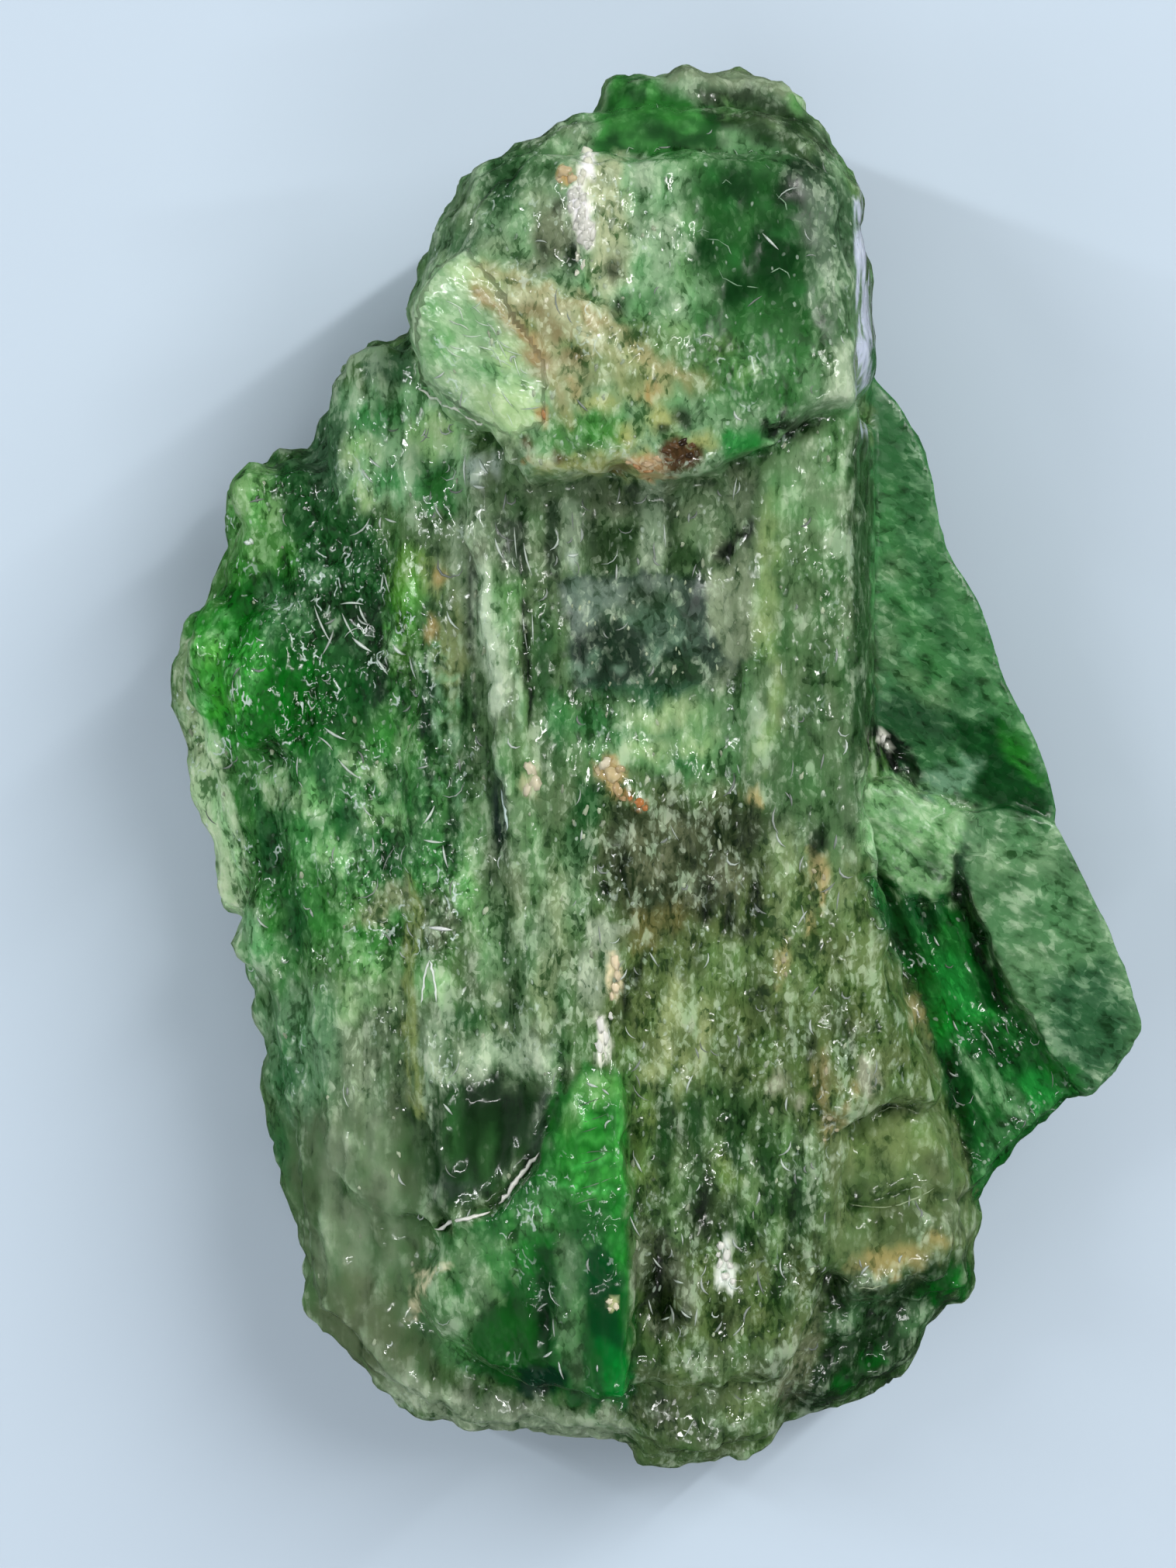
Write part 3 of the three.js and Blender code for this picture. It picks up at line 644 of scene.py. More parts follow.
# The steps between the blocks are worn to slopes, seen from above, and the
# outline stays where it is.
crystal = bpy.data.objects.new(
    "diopside_rough",
    mesh_from(np.vstack(points), [f for group in faces for f in group], "diopside_rough"),
)
bpy.context.scene.collection.objects.link(crystal)
remesh(crystal, 0.25)
me = crystal.data
p = coords(me)
n = normals(me)
ed = edges(me)
u, v, r = regions(p)
worn = 0.85 + 0.1 * r["cap"]
worn *= 1 - 0.9 * r["leaf"]
for path, wide in SHARP_EDGES:
    worn *= 1 - 0.8 * np.exp(-((along(u, v, path) / wide) ** 2))
z1 = relax(p[:, 2], ed, 14)
z2 = relax(z1, ed, 80)
z3 = relax(z2, ed, 120)
z2 += np.clip(r["cap"] + mask(u, v, LEFT_LUMPS, 30), 0, 1) * 0.6 * (z3 - z2)
facing = smooth(relax(n[:, 2], ed, 4), -0.25, 0.1)
p[:, 2] += facing * worn * (0.45 * z1 + 0.55 * z2 - p[:, 2])
out_there = smooth(within(u, v, [(1116, 470), (1500, 470), (1500, 1500), (1300, 1490), (1250, 1330), (1116, 960)]), 0, 12)
under = out_there * smooth(8.5 - p[:, 2], 0.0, 1.2) * smooth(-n[:, 2], -0.6, -0.2)
p[:, :2] -= 0.32 * under[:, None] * n[:, :2]
p[:, 2] = np.maximum(p[:, 2], 0)
me.vertices.foreach_set("co", p.astype(np.float32).ravel())
me.update()
stamp(f"worn base, {len(p)} points")
worn_polys = [tuple(q.vertices) for q in me.polygons]
tree = BVHTree.FromPolygons([tuple(c) for c in p.tolist()], worn_polys)
points, faces, count = [p.astype(float)], [worn_polys], len(p)

lean = lambda u, v: 14.0 * min(1, max(0, (u - 900) / 260)) * min(1, max(0, (v - 1050) / 250))
fibres(MAIN_TOP, 150, 11, proud=(-0.1, 0.14), avoid=DARK_FACET)
fibres(LOWER_MIDDLE, 300, 12, width=(0.35, 1.1), length=(1.5, 6.0), proud=(-0.08, 0.22), heading=lambda u, v: -lean(u, v))
fibres(LOWER_LEFT, 220, 13, width=(0.4, 1.2), length=(2.5, 8.0), proud=(-0.08, 0.2))
fibres(RIGHT_COLUMN, 70, 14, width=(0.3, 0.8), length=(1.5, 6.0), proud=(-0.08, 0.08), roll=8)
fibres(LEFT_LUMPS, 130, 15, width=(0.4, 1.1), length=(1.0, 3.5), proud=(-0.1, 0.2), heading=lambda u, v: -10 if u > 420 else -25, spread=12)
fibres(GREEN_FLOOR, 70, 16, width=(0.3, 0.8), length=(2.0, 6.0), proud=(-0.05, 0.18), heading=-27, spread=4)
fibres(WEDGE, 40, 17, width=(0.4, 1.2), length=(1.0, 4.0), proud=(-0.1, 0.12), heading=4, spread=6)
fibres(CAP, 16, 19, width=(0.4, 1.1), length=(0.9, 3.0), proud=(-0.12, 0.04), heading=-4, spread=30)
knobs(LEFT_LUMPS, 150, 21, size=(0.3, 0.85), tall=0.5, sink=0.3)
knobs([(930, 104), (990, 96), (1040, 130), (1070, 170), (1030, 176), (960, 130)], 16, 22, size=(0.3, 0.6), tall=0.5)
knobs(LOBES, 26, 23, size=(0.5, 1.2), tall=0.25, sink=0.12)
knobs(SKIRT, 40, 24, size=(0.3, 0.8), tall=0.5)
knobs(WEDGE, 30, 25, size=(0.4, 0.9), tall=0.35, sink=0.25)
knobs(LOWER_LEFT, 50, 26, size=(0.25, 0.7), tall=0.4, stretch=2.2, sink=0.3)
knobs(LOWER_MIDDLE, 90, 27, size=(0.22, 0.6), tall=0.5, stretch=2.2, sink=0.3)
knobs(CAP, 60, 28, size=(0.4, 1.2), tall=0.22, stretch=1.6, sink=0.14)
knobs(MAIN_TOP, 50, 29, size=(0.25, 0.6), tall=0.5, stretch=2.0, sink=0.3, avoid=DARK_FACET)

stamp(f"blocks laid out, {count} points")


crystal.data = mesh_from(np.vstack(points), [f for group in faces for f in group], "diopside_rough")
remesh(crystal, 0.2)
stamp(f"joined into one skin, {len(crystal.data.vertices)} points")


# ---- steps, fibres and hollows --------------------------------------------------
me = crystal.data
ed = edges(me)
p = relax(coords(me), ed, 2)
n = relax(normals(me), ed, 4)
n /= np.maximum(np.linalg.norm(n, axis=1, keepdims=True), 1e-6)
u, v, r = regions(p)
g = grain_frame(p, r)
up = smooth(n[:, 2], 0.05, 0.5)
low = smooth(p[:, 2], 0.2, 2.2)  # nothing moves on the resting face
calm = np.clip(0.9 - 0.84 * r["leaf"] - 0.8 * r["dark"] - 0.3 * r["mint"] - 0.35 * r["column"] - 0.3 * r["lobes"] - 0.45 * r["cap"], 0.05, 1)

d1, d2, key, way = grains(g, (1.5, 7.0, 6.0), 3)
step = 0.30 * (unit(key) - 0.5) + 0.16 * (way[:, 0] * (unit(key, 1) - 0.5) + way[:, 2] * (unit(key, 2) - 0.5))
d1, d2, key, way = grains(g + 0.15 * wander(p, (1.5, 1.5, 1.5), 5)[:, None], (0.6, 2.6, 3.0), 7)
step += 0.13 * (unit(key) - 0.5) + 0.12 * (way[:, 0] * (unit(key, 1) - 0.5) + way[:, 2] * (unit(key, 2) - 0.5))
stamp("cleavage steps")
move = calm * low * step
move += low * 0.10 * calm * wander(g, (2.2, 3.5, 4.0), 11)
wall = (1 - smooth(n[:, 2], 0.3, 0.8)) * (1 - 0.85 * r["gleam"]) * (1 - 0.75 * mask(u, v, [(1116, 470), (1500, 470), (1500, 1500), (1300, 1490), (1250, 1330), (1116, 960)], 10))
d1, d2, key, way = grains(p + 0.2 * wander(p, (1.0, 1.0, 1.0), 14)[:, None], (1.15, 1.3, 1.25), 12)
move += low * wall * (0.30 * (unit(key) - 0.5) + 0.55 * (0.30 - d1 * d1) * unit(key, 1) + 0.30 * wander(p, (2.2, 2.2, 2.2), 13))
p2 = p + n * move[:, None]

# Hollows and ledges that show in the picture, pressed into the upper faces.
fall = np.zeros(len(p), np.float32)
for spec, soft, depth in (
    ((448, 800, 46, 42, 20), 34, 0.8),  # dark hollow of the left shoulder
    ([(400, 660), (490, 655), (500, 735), (430, 760), (396, 720)], 34, 0.7),
    ((848, 1660, 26, 50, 8), 24, 0.8),  # black hollow beside the wedge
    ((914, 1556, 20, 52, 4), 22, 0.6),
    ((1074, 1580, 6, 60, 2), 6, 0.15),  # groove left of the lobes
    ((1012, 552, 30, 8, -14), 5, 0.9),  # gap under the cap
    ([(674, 780), (680, 780), (686, 930), (681, 930)], 3, 0.6),  # slit
    ((652, 1080, 9, 40, 4), 6, 0.6),
    ((780, 1148, 8, 12, 0), 4, 0.6),
    ([(570, 1560), (576, 1430), (610, 1400), (690, 1404), (708, 1440), (690, 1490), (640, 1548)], 30, 0.7),
    ((909, 1165, 8, 28, 4), 5, 0.4), ((940, 1180, 8, 24, 8), 5, 0.4), ((972, 1157, 9, 28, 8), 5, 0.45),
    ([(1128, 950), (1180, 970), (1196, 1000), (1180, 1020), (1140, 1000)], 8, 0.5),
    ([(1190, 1040), (1262, 1040), (1268, 1052), (1196, 1056)], 5, 0.35),
    ([(1228, 1108), (1246, 1104), (1254, 1164), (1284, 1250), (1300, 1312), (1280, 1300), (1254, 1230)], 5, 0.35),
    ((704, 1705, 13, 36, 0), 8, 0.5), ((698, 1776, 28, 20, 10), 8, 0.4),
    ((798, 402, 14, 14, 0), 6, 0.35), ((738, 330, 10, 22, 0), 6, 0.35),
    ((1125, 1752, 14, 12, 0), 7, 0.3), ((1088, 1781, 12, 12, 0), 7, 0.3),
    ((436, 700, 30, 26, 0), 10, 0.4),
):
    fall += depth * mask(u, v, spec, soft)
for path, wide, depth in (
    ([(567, 1586), (601, 1567), (635, 1561), (646, 1551), (663, 1525), (691, 1491), (718, 1419), (724, 1390)], 6, 0.9),
    ([(808, 1384), (812, 1450), (815, 1520), (814, 1600), (818, 1700), (818, 1800)], 5, 0.6),
    ([(668, 640), (672, 760), (680, 860), (690, 950), (700, 990)], 4, 0.5),
        ([(600, 536), (662, 569), (682, 615), (790, 616), (836, 624), (964, 598), (985, 584)], 4, 0.7),
    ([(520, 1240), (524, 1330), (530, 1450)], 4, 0.3),
    ([(470, 1290), (476, 1420), (480, 1560)], 4, 0.3),
    ([(430, 1350), (440, 1500), (446, 1640)], 4, 0.3),
    ([(560, 1010), (556, 1100), (562, 1180)], 4, 0.3),
        ([(1130, 1130), (1170, 1220), (1210, 1340), (1236, 1440), (1252, 1520)], 5, 0.3),
    ([(1360, 1062), (1340, 1052), (1300, 1044), (1262, 1048)], 3, 0.15),
    ([(1092, 1558), (1140, 1542), (1190, 1532), (1236, 1556)], 5, 0.25),
):
    near = along(u, v, path)
    fall += depth * np.exp(-((near / wide) ** 2))
p2[:, 2] -= fall * up
stamp("hollows pressed in")
p2[:, 2] = np.maximum(p2[:, 2], 0)
me.vertices.foreach_set("co", p2.astype(np.float32).ravel())
me.update()
remesh(crystal, 0.165)
me = crystal.data
stamp(f"second skin, {len(me.vertices)} points")

# Fine relief.
ed = edges(me)
p = relax(coords(me), ed, 2)
n = relax(normals(me), ed, 4)
n /= np.maximum(np.linalg.norm(n, axis=1, keepdims=True), 1e-6)
u, v, r = regions(p)
g = grain_frame(p, r)
low = smooth(p[:, 2], 0.15, 1.2)
smoothed = np.clip(1 - 0.85 * r["leaf"] - 0.75 * r["dark"] - 0.3 * r["column"] - 0.45 * r["cap"], 0.12, 1)
wet = np.clip(r["lumps"] + r["rim"] + 0.7 * r["lobes"] + 0.5 * r["skirt"] + 0.4 * r["wedge"], 0, 1)
patchy = smooth(wander(p, (3.0, 4.0, 3.0), 35), -0.35, 0.35)
fine = 0.05 * wander(g, (0.42, 2.2, 1.6), 31) + 0.03 * wander(g, (0.3, 0.9, 0.8), 32)
fine += r["cap"] * (0.08 * wander(p, (0.8, 0.9, 0.8), 39) - 0.8 * fine)
d1, d2, key, way = grains(g + 0.12 * wander(p, (0.9, 0.9, 0.9), 36)[:, None], (0.95, 1.3, 0.95), 33)
domes = (0.16 + 0.16 * unit(key)) * (0.25 - d1 * d1)
d1, d2, key, way = grains(g, (0.6, 0.8, 0.6), 38)
domes += 0.10 * unit(key) * (0.25 - d1 * d1)
wall = (1 - smooth(n[:, 2], 0.3, 0.8)) * (1 - 0.85 * r["gleam"])
fine = fine * (1 - 0.5 * wet) * (1 - 0.6 * wall) + np.maximum((0.25 + 0.75 * wet) * (0.35 + 0.65 * patchy), 0.8 * wall) * domes
under = smooth(-n[:, 2], -0.12, 0.3) * smooth(p[:, 2], 0.1, 0.9)
rugged = 0.34 * wander(p, (1.9, 2.3, 1.5), 71) + 0.2 * wander(p, (0.85, 1.0, 0.7), 72) - 0.1
p2 = p + n * (fine * low * smoothed + under * rugged)[:, None]
near_foot = 1 - smooth(p[:, 2], 0.0, 3.4)
p2[:, 0] += near_foot * (0.75 * wander(p, (2.6, 2.6, 4.0), 76) + 0.3 * wander(p, (1.0, 1.0, 2.4), 77))
p2[:, 1] += near_foot * (0.75 * wander(p, (2.6, 2.6, 4.0), 78) + 0.3 * wander(p, (1.0, 1.0, 2.4), 79))
# The slab's leaves are flat right to their edges.
for outline, level in ((SLAB_UPPER, 8.95), (SLAB_LOWER, 9.75)):
    k = mask(u, v, outline, 3) * smooth(n[:, 2], 0.1, 0.45) * (1 - smooth(abs(p2[:, 2] - level), 0.4, 0.65))
    p2[:, 2] += 0.9 * k * (level - p2[:, 2])
p2[:, 2] = np.maximum(p2[:, 2], 0)
me.vertices.foreach_set("co", p2.astype(np.float32).ravel())
me.update()
stamp("fine relief")

# Fewer triangles, most of all on the underside and the walls.
side = smooth(p2[:, 2], 0.6, 3.2) * (0.35 + 0.65 * smooth(n[:, 2], 0.0, 0.5))
group = crystal.vertex_groups.new(name="plain")
levels = np.round((1 - side) * 9).astype(int) + 1
for k in range(1, 11):
    group.add([int(i) for i in np.nonzero(levels == k)[0]], k / 10, "REPLACE")
m = crystal.modifiers.new("thin", "DECIMATE")
tri_count = sum(len(q.vertices) - 2 for q in me.polygons)
m.ratio = 162000 / tri_count
m.use_collapse_triangulate = True
m.vertex_group = "plain"
m.vertex_group_factor = 1.0
me = applied(crystal)
crystal.vertex_groups.clear()
stamp(f"thinned to {len(me.polygons)} faces")

# ---- colours --------------------------------------------------------------------
def lin(c):
    c = np.asarray(c, float) / 255
    return np.where(c <= 0.04045, c / 12.92, ((c + 0.055) / 1.055) ** 2.4)


EMERALD = (28, 110, 42)
VIVID = (44, 136, 46)
BRIGHT = (40, 160, 66)
DEEP = (18, 78, 34)
NIGHT = (12, 56, 24)
BLACK = (14, 30, 16)
BOTTLE = (34, 78, 42)
MOSS = (86, 118, 72)
LEAF = (66, 124, 62)
SPRING = (98, 150, 64)
MINT = (138, 184, 126)
PALE = (150, 182, 128)
FROST = (168, 198, 152)
GREYGREEN = (92, 116, 84)
SLATE = (52, 74, 58)
SMOKE = (78, 92, 68)
OLIVE = (100, 118, 72)
LIME = (120, 146, 80)
STRAW = (168, 174, 118)
SAND = (164, 150, 106)
TAN = (196, 160, 106)
RUST = (170, 104, 46)
UMBER = (80, 54, 30)
CREAM = (216, 206, 170)
WHITE = (226, 228, 216)
SEA = (0, 104, 46)
STONE = (122, 132, 106)
# colour of the painted reflection on the cap's side
REFLECTED_LAVENDER = (192, 196, 214)

p = coords(me)
n = normals(me)
ed = edges(me)
u0, v0 = picture(p)
ur, vr, r = regions(p)
g = grain_frame(p, r)
under_cap = mask(u0, v0, [(596, 590), (985, 590), (980, 770), (960, 900), (720, 900), (600, 760)], 20)
calm_warp = (1 - 0.6 * np.clip(r["cap"] + r["wedge"] + r["lobes"], 0, 1)) * (1 - 0.7 * under_cap)
wu = (1 - 0.5 * under_cap) * (10 * wander(g, (0.8, 2.4, 0.8), 51) + 9 * wander(g, (0.35, 1.0, 0.35), 52))
wv = calm_warp * (20 * wander(g, (0.7, 1.8, 1.2), 53) + 14 * wander(g, (0.35, 0.8, 0.6), 54))
wv += (1 - calm_warp) * 14 * wander(g, (0.5, 0.8, 0.5), 55)
u, v = u0 + wu, v0 + wv
tint = np.tile(lin(MOSS), (len(p), 1))


def paint(colour, strength, soft, *specs):
    for spec in specs:
        k = (strength * mask(u, v, spec, soft))[:, None]
        tint[:] = tint * (1 - k) + lin(colour) * k


def streak(colour, strength, wide, *paths):
    for path in paths:
        k = (strength * np.exp(-((along(u, v, path) / wide) ** 2)))[:, None]
        tint[:] = tint * (1 - k) + lin(colour) * k


# Main mass, broad tones first.
paint((94, 113, 68), 0.9, 50, LOWER_MIDDLE)
paint(GREYGREEN, 0.9, 50, LOWER_LEFT)
paint(LEAF, 0.9, 50, LEFT_LUMPS)
paint(GREYGREEN, 0.7, 40, MAIN_TOP)
paint((92, 120, 84), 0.85, 16, RIGHT_COLUMN)
paint((82, 110, 76), 0.8, 22, [(960, 900), (1110, 900), (1110, 1080), (1020, 1090), (970, 1000)])

# Left shoulder.
paint(DEEP, 0.85, 30, [(330, 720), (400, 700), (500, 720), (520, 800), (500, 900), (420, 980), (350, 980), (330, 860)])
paint(VIVID, 0.95, 26, [(238, 800), (290, 770), (340, 790), (350, 880), (340, 950), (290, 970), (250, 930)])
paint((84, 160, 66), 0.8, 12, (286, 905, 26, 22, 0), (270, 850, 16, 30, 0))
paint((124, 180, 122), 0.65, 6, (272, 818, 10, 10, 0), (302, 866, 8, 10, 0), (262, 898, 8, 14, 0), (312, 930, 10, 8, 0), (290, 800, 10, 6, 0), (250, 850, 6, 16, 0), (330, 880, 6, 10, 0))
paint((26, 104, 32), 0.6, 5, (300, 892, 7, 9, 0), (280, 936, 9, 8, 0), (318, 850, 6, 12, 0), (284, 850, 6, 8, 0))
paint((6, 98, 22), 0.94, 20, (380, 900, 44, 54, 10), (320, 780, 30, 30, 0), (398, 956, 26, 20, 0), (330, 940, 20, 26, 0))
paint((118, 164, 104), 0.95, 14, (330, 640, 38, 38, 0), (318, 700, 20, 30, 0))
paint((74, 132, 60), 0.8, 14, (350, 706, 30, 34, 0), (300, 730, 16, 24, 0))
paint((36, 88, 46), 0.9, 18, [(346, 590), (440, 570), (480, 650), (490, 720), (440, 760), (390, 740), (372, 680)])
paint((72, 110, 78), 0.9, 12, [(396, 560), (426, 500), (446, 478), (450, 640), (404, 640)], [(456, 470), (525, 440), (540, 490), (480, 500)])
paint((146, 180, 142), 0.95, 14, [(440, 516), (500, 490), (560, 500), (600, 540), (596, 640), (520, 650), (446, 646)])
paint((62, 136, 74), 0.8, 12, (486, 538, 36, 24, 0), (560, 632, 30, 28, 0), (500, 620, 20, 20, 0))
paint(PALE, 0.85, 12, (560, 560, 34, 34, 0), (462, 582, 22, 18, 0), (466, 640, 16, 16, 0))
paint((44, 110, 44), 0.9, 10, (566, 636, 22, 20, 0))
paint((150, 166, 146), 0.85, 8, (614, 606, 18, 24, 0), (622, 650, 14, 16, 0))
paint(BLACK, 0.7, 16, (446, 806, 34, 30, 20), (420, 780, 16, 14, 0), (478, 850, 12, 24, 0))
paint((84, 136, 90), 0.7, 9, (364, 776, 30, 18, 10), (410, 742, 18, 14, 0), (346, 806, 18, 14, 0), (388, 800, 10, 16, 0), (432, 786, 10, 8, 20), (462, 822, 9, 9, 0), (436, 832, 12, 7, -20))
paint(SPRING, 0.85, 12, (512, 800, 18, 60, 0), (536, 740, 24, 36, 0))
paint((140, 150, 106), 0.7, 10, (556, 744, 18, 26, 0), (580, 850, 18, 40, 0), (590, 780, 12, 30, 0))
paint((168, 144, 98), 0.7, 6, (560, 816, 9, 15, 0), (566, 744, 6, 10, 0))
paint(DEEP, 0.8, 8, (490, 790, 8, 50, 0), (470, 900, 10, 40, 0), (520, 900, 8, 40, 0), (552, 920, 9, 60, 0))
paint((74, 126, 78), 0.7, 24, [(350, 990), (460, 960), (560, 1000), (590, 1120), (500, 1160), (400, 1120), (340, 1060)])
paint(FROST, 0.55, 8, (470, 990, 30, 14, 30), (400, 1040, 30, 16, 30), (500, 1050, 34, 20, 0), (430, 1100, 30, 18, 20), (352, 1010, 16, 24, -20), (520, 960, 10, 20, 0))
paint((26, 86, 44), 0.85, 14, (420, 1000, 16, 22, 0), (350, 1100, 20, 50, -10), (380, 1190, 20, 50, 0), (500, 1110, 14, 26, 0), (446, 1060, 14, 16, 0), (330, 1040, 10, 30, -20))
# painted light: the pale band along the left edge, where light shows through the thin rim
paint((172, 198, 158), 0.95, 9, [(232, 905), (272, 930), (296, 1030), (318, 1110), (312, 1186), (286, 1170), (258, 1080), (238, 1000)])
paint((138, 156, 122), 0.85, 8, [(221, 864), (236, 815), (250, 824), (248, 900), (262, 980), (248, 990), (226, 910)])
paint((136, 170, 134), 0.9, 14, (338, 1236, 22, 28, 0), (322, 1200, 14, 26, 0))
paint((56, 128, 60), 0.7, 10, (346, 1226, 12, 12, 0), (370, 1260, 18, 26, 0))
paint((140, 150, 116), 0.85, 12, (510, 1160, 26, 22, 0), (474, 1176, 22, 14, 0))
paint((88, 100, 78), 0.85, 14, (560, 1190, 30, 36, 0), (610, 1250, 14, 40, 0))
paint(MINT, 0.7, 12, (600, 1130, 16, 50, 0), (620, 1210, 14, 36, 0), (480, 1240, 30, 16, 0), (560, 1270, 24, 20, 0))
paint((146, 176, 132), 0.7, 14, (452, 1290, 30, 30, 0), (400, 1300, 24, 30, 0), (505, 1290, 12, 34, 0))

paint((124, 146, 114), 0.8, 7, [(572, 664), (604, 656), (628, 690), (634, 820), (600, 820), (580, 740)])
paint((154, 172, 146), 0.7, 4, (588, 700, 5, 34, 0), (612, 726, 5, 40, 0), (622, 790, 4, 26, 0))
paint((140, 180, 146), 0.65, 4, (566, 836, 9, 4, 20), (574, 868, 9, 4, -10), (562, 896, 10, 4, 10), (572, 926, 9, 4, -20), (560, 952, 10, 4, 10), (574, 984, 9, 4, 0), (564, 1012, 10, 4, 20), (586, 902, 4, 10, 0), (584, 960, 4, 12, 0))
paint((14, 66, 30), 0.85, 4, (570, 852, 8, 6, 0), (552, 1040, 6, 26, 0), (590, 1020, 6, 20, 0), (578, 884, 8, 6, 0), (566, 912, 9, 6, 0), (574, 942, 8, 6, 0), (566, 970, 9, 6, 0), (572, 998, 8, 6, 0))
# Stripes and slits between the shoulder and the middle.
paint((176, 192, 168), 0.9, 9, [(612, 690), (636, 660), (646, 760), (654, 900), (644, 940), (626, 900), (612, 800)])
paint((100, 140, 90), 0.85, 7, [(634, 728), (668, 700), (672, 826), (640, 822)])
paint((108, 140, 96), 0.8, 8, [(652, 720), (668, 700), (674, 820), (684, 930), (700, 1010), (676, 1010), (660, 900)])
paint(BOTTLE, 0.7, 10, (600, 960, 10, 60, 0), (636, 1000, 8, 40, 0), (590, 1080, 8, 40, 0), (700, 860, 14, 70, 0), (716, 950, 12, 40, 0))
paint((120, 156, 112), 0.7, 8, (618, 1040, 10, 50, 0), (668, 1060, 9, 60, 0), (650, 970, 8, 30, 0), (690, 1100, 9, 50, 0))
streak(BLACK, 0.9, 4, [(676, 782), (679, 850), (683, 930)])
streak((14, 48, 26), 0.85, 5, [(551, 846), (554, 900), (546, 960), (552, 1016)], [(488, 776), (494, 840), (486, 900)], [(574, 980), (582, 1040), (578, 1110)])
streak((10, 40, 22), 0.8, 4, [(607, 700), (612, 780), (606, 860), (614, 930)], [(590, 880), (598, 940)], [(524, 1010), (532, 1070)])
streak((150, 184, 154), 0.4, 4, [(560, 850), (563, 910), (557, 960)], [(500, 790), (504, 850)], [(590, 990), (596, 1050), (592, 1100)], [(660, 800), (664, 870), (668, 930)])
paint((26, 50, 44), 0.9, 5, (646, 1050, 8, 60, -4))
paint((176, 176, 140), 0.7, 6, (684, 1006, 12, 22, 0))
paint(DEEP, 0.85, 9, (752, 1032, 18, 30, 0), (746, 1096, 20, 36, 0))
paint((142, 160, 122), 0.7, 12, (720, 1180, 14, 60, 0), (668, 1180, 12, 50, 0), (700, 1280, 16, 50, 0), (640, 1300, 14, 30, 0))
paint((120, 150, 114), 0.7, 16, (640, 1220, 20, 60, 0), (690, 1210, 20, 40, 0), (740, 1140, 14, 50, 0))
paint((52, 92, 52), 0.7, 10, (680, 1240, 8, 60, 0), (724, 1300, 8, 50, 0), (610, 1320, 10, 36, 0), (576, 1330, 12, 40, 0))

# Bars and columns below the cap.
paint((102, 124, 92), 0.9, 14, [(600, 600), (690, 618), (970, 600), (968, 740), (720, 745), (640, 745), (606, 700)])
for u_, v_, w_, h_ in ((617, 690, 13, 40), (651, 690, 8, 46), (736, 678, 12, 46), (797, 650, 14, 16), (838, 680, 16, 62), (866, 660, 6, 44), (902, 668, 18, 22), (953, 640, 14, 38), (764, 680, 7, 30), (700, 660, 8, 26), (924, 700, 10, 24)):
    paint((118, 132, 106), 0.7, 4, (u_, v_, w_, h_, 0))
paint((44, 70, 38), 0.85, 9, (790, 706, 20, 26, 0), (712, 690, 7, 44, 0), (674, 690, 10, 46, 0), (888, 716, 18, 18, 0), (854, 640, 6, 30, 0), (816, 640, 6, 24, 0))
paint((58, 72, 58), 0.75, 6, [(638, 668), (678, 664), (680, 742), (646, 744)], [(702, 640), (720, 640), (722, 742), (706, 742)])
paint((46, 74, 40), 0.8, 6, [(752, 672), (820, 676), (820, 742), (756, 744)], [(858, 650), (874, 640), (880, 740), (860, 744)])
paint((22, 34, 24), 0.9, 5, [(920, 712), (948, 690), (976, 664), (972, 690), (944, 712), (924, 726)])
paint((136, 154, 130), 0.85, 5, [(724, 644), (750, 640), (750, 700), (744, 728), (728, 724)], [(824, 612), (854, 608), (856, 742), (824, 742)])
paint((110, 134, 100), 0.8, 5, [(682, 662), (698, 660), (702, 732), (686, 732)], [(884, 632), (918, 632), (920, 706), (884, 702)])
paint((126, 146, 118), 0.8, 6, [(597, 656), (630, 654), (630, 694), (600, 696)])
paint((164, 178, 168), 0.8, 5, (612, 606, 12, 16, 0), (640, 600, 6, 18, 0), (740, 720, 7, 8, 0))
paint((62, 82, 68), 0.95, 4, DARK_FACET)
paint((40, 60, 50), 0.85, 22, (770, 840, 26, 36, 0), (840, 856, 60, 26, 0), (880, 800, 26, 30, 0))
paint((92, 112, 88), 0.6, 18, (780, 780, 36, 20, 0), (840, 776, 30, 16, 0))
paint((82, 110, 88), 0.75, 12, [(816, 776), (906, 790), (900, 842), (846, 838), (820, 806)])
paint((112, 130, 118), 0.75, 7, [(720, 748), (800, 752), (806, 774), (778, 786), (760, 806), (744, 812), (724, 790)])
paint((32, 52, 36), 0.8, 7, [(744, 818), (770, 806), (800, 792), (820, 816), (828, 868), (800, 880), (744, 874)])
paint((48, 78, 48), 0.8, 9, [(830, 852), (904, 848), (914, 884), (834, 888)])
paint((122, 148, 128), 0.7, 6, (752, 866, 18, 8, 0), (768, 846, 8, 10, 0), (800, 862, 8, 6, 0), (846, 842, 10, 5, 0), (872, 820, 9, 6, 0), (812, 800, 8, 5, 20))
paint((138, 152, 124), 0.9, 5, [(908, 748), (965, 715), (975, 850), (940, 856), (912, 800)])
paint((126, 142, 114), 0.7, 10, (940, 880, 26, 20, 0))
paint((106, 142, 100), 0.9, 18, [(716, 900), (800, 905), (900, 900), (962, 880), (975, 990), (900, 1010), (800, 1000), (716, 960)])
paint((158, 180, 134), 0.7, 14, (860, 920, 40, 16, -10), (900, 960, 24, 16, 0), (830, 975, 30, 14, 0))
paint((44, 108, 56), 0.8, 12, (760, 930, 26, 24, 0), (880, 985, 20, 14, 0), (720, 930, 16, 34, 0), (800, 940, 14, 12, 0))
paint((40, 90, 60), 0.7, 10, (830, 892, 80, 10, 0))
paint((176, 156, 112), 0.9, 6, [(768, 982), (792, 974), (808, 1006), (798, 1036), (778, 1020)])
paint((176, 122, 70), 0.85, 4, (826, 1037, 7, 7, 0), (812, 1030, 5, 4, 0))
paint((26, 50, 30), 0.8, 7, (812, 1048, 20, 7, 10), (862, 1010, 20, 6, 0))

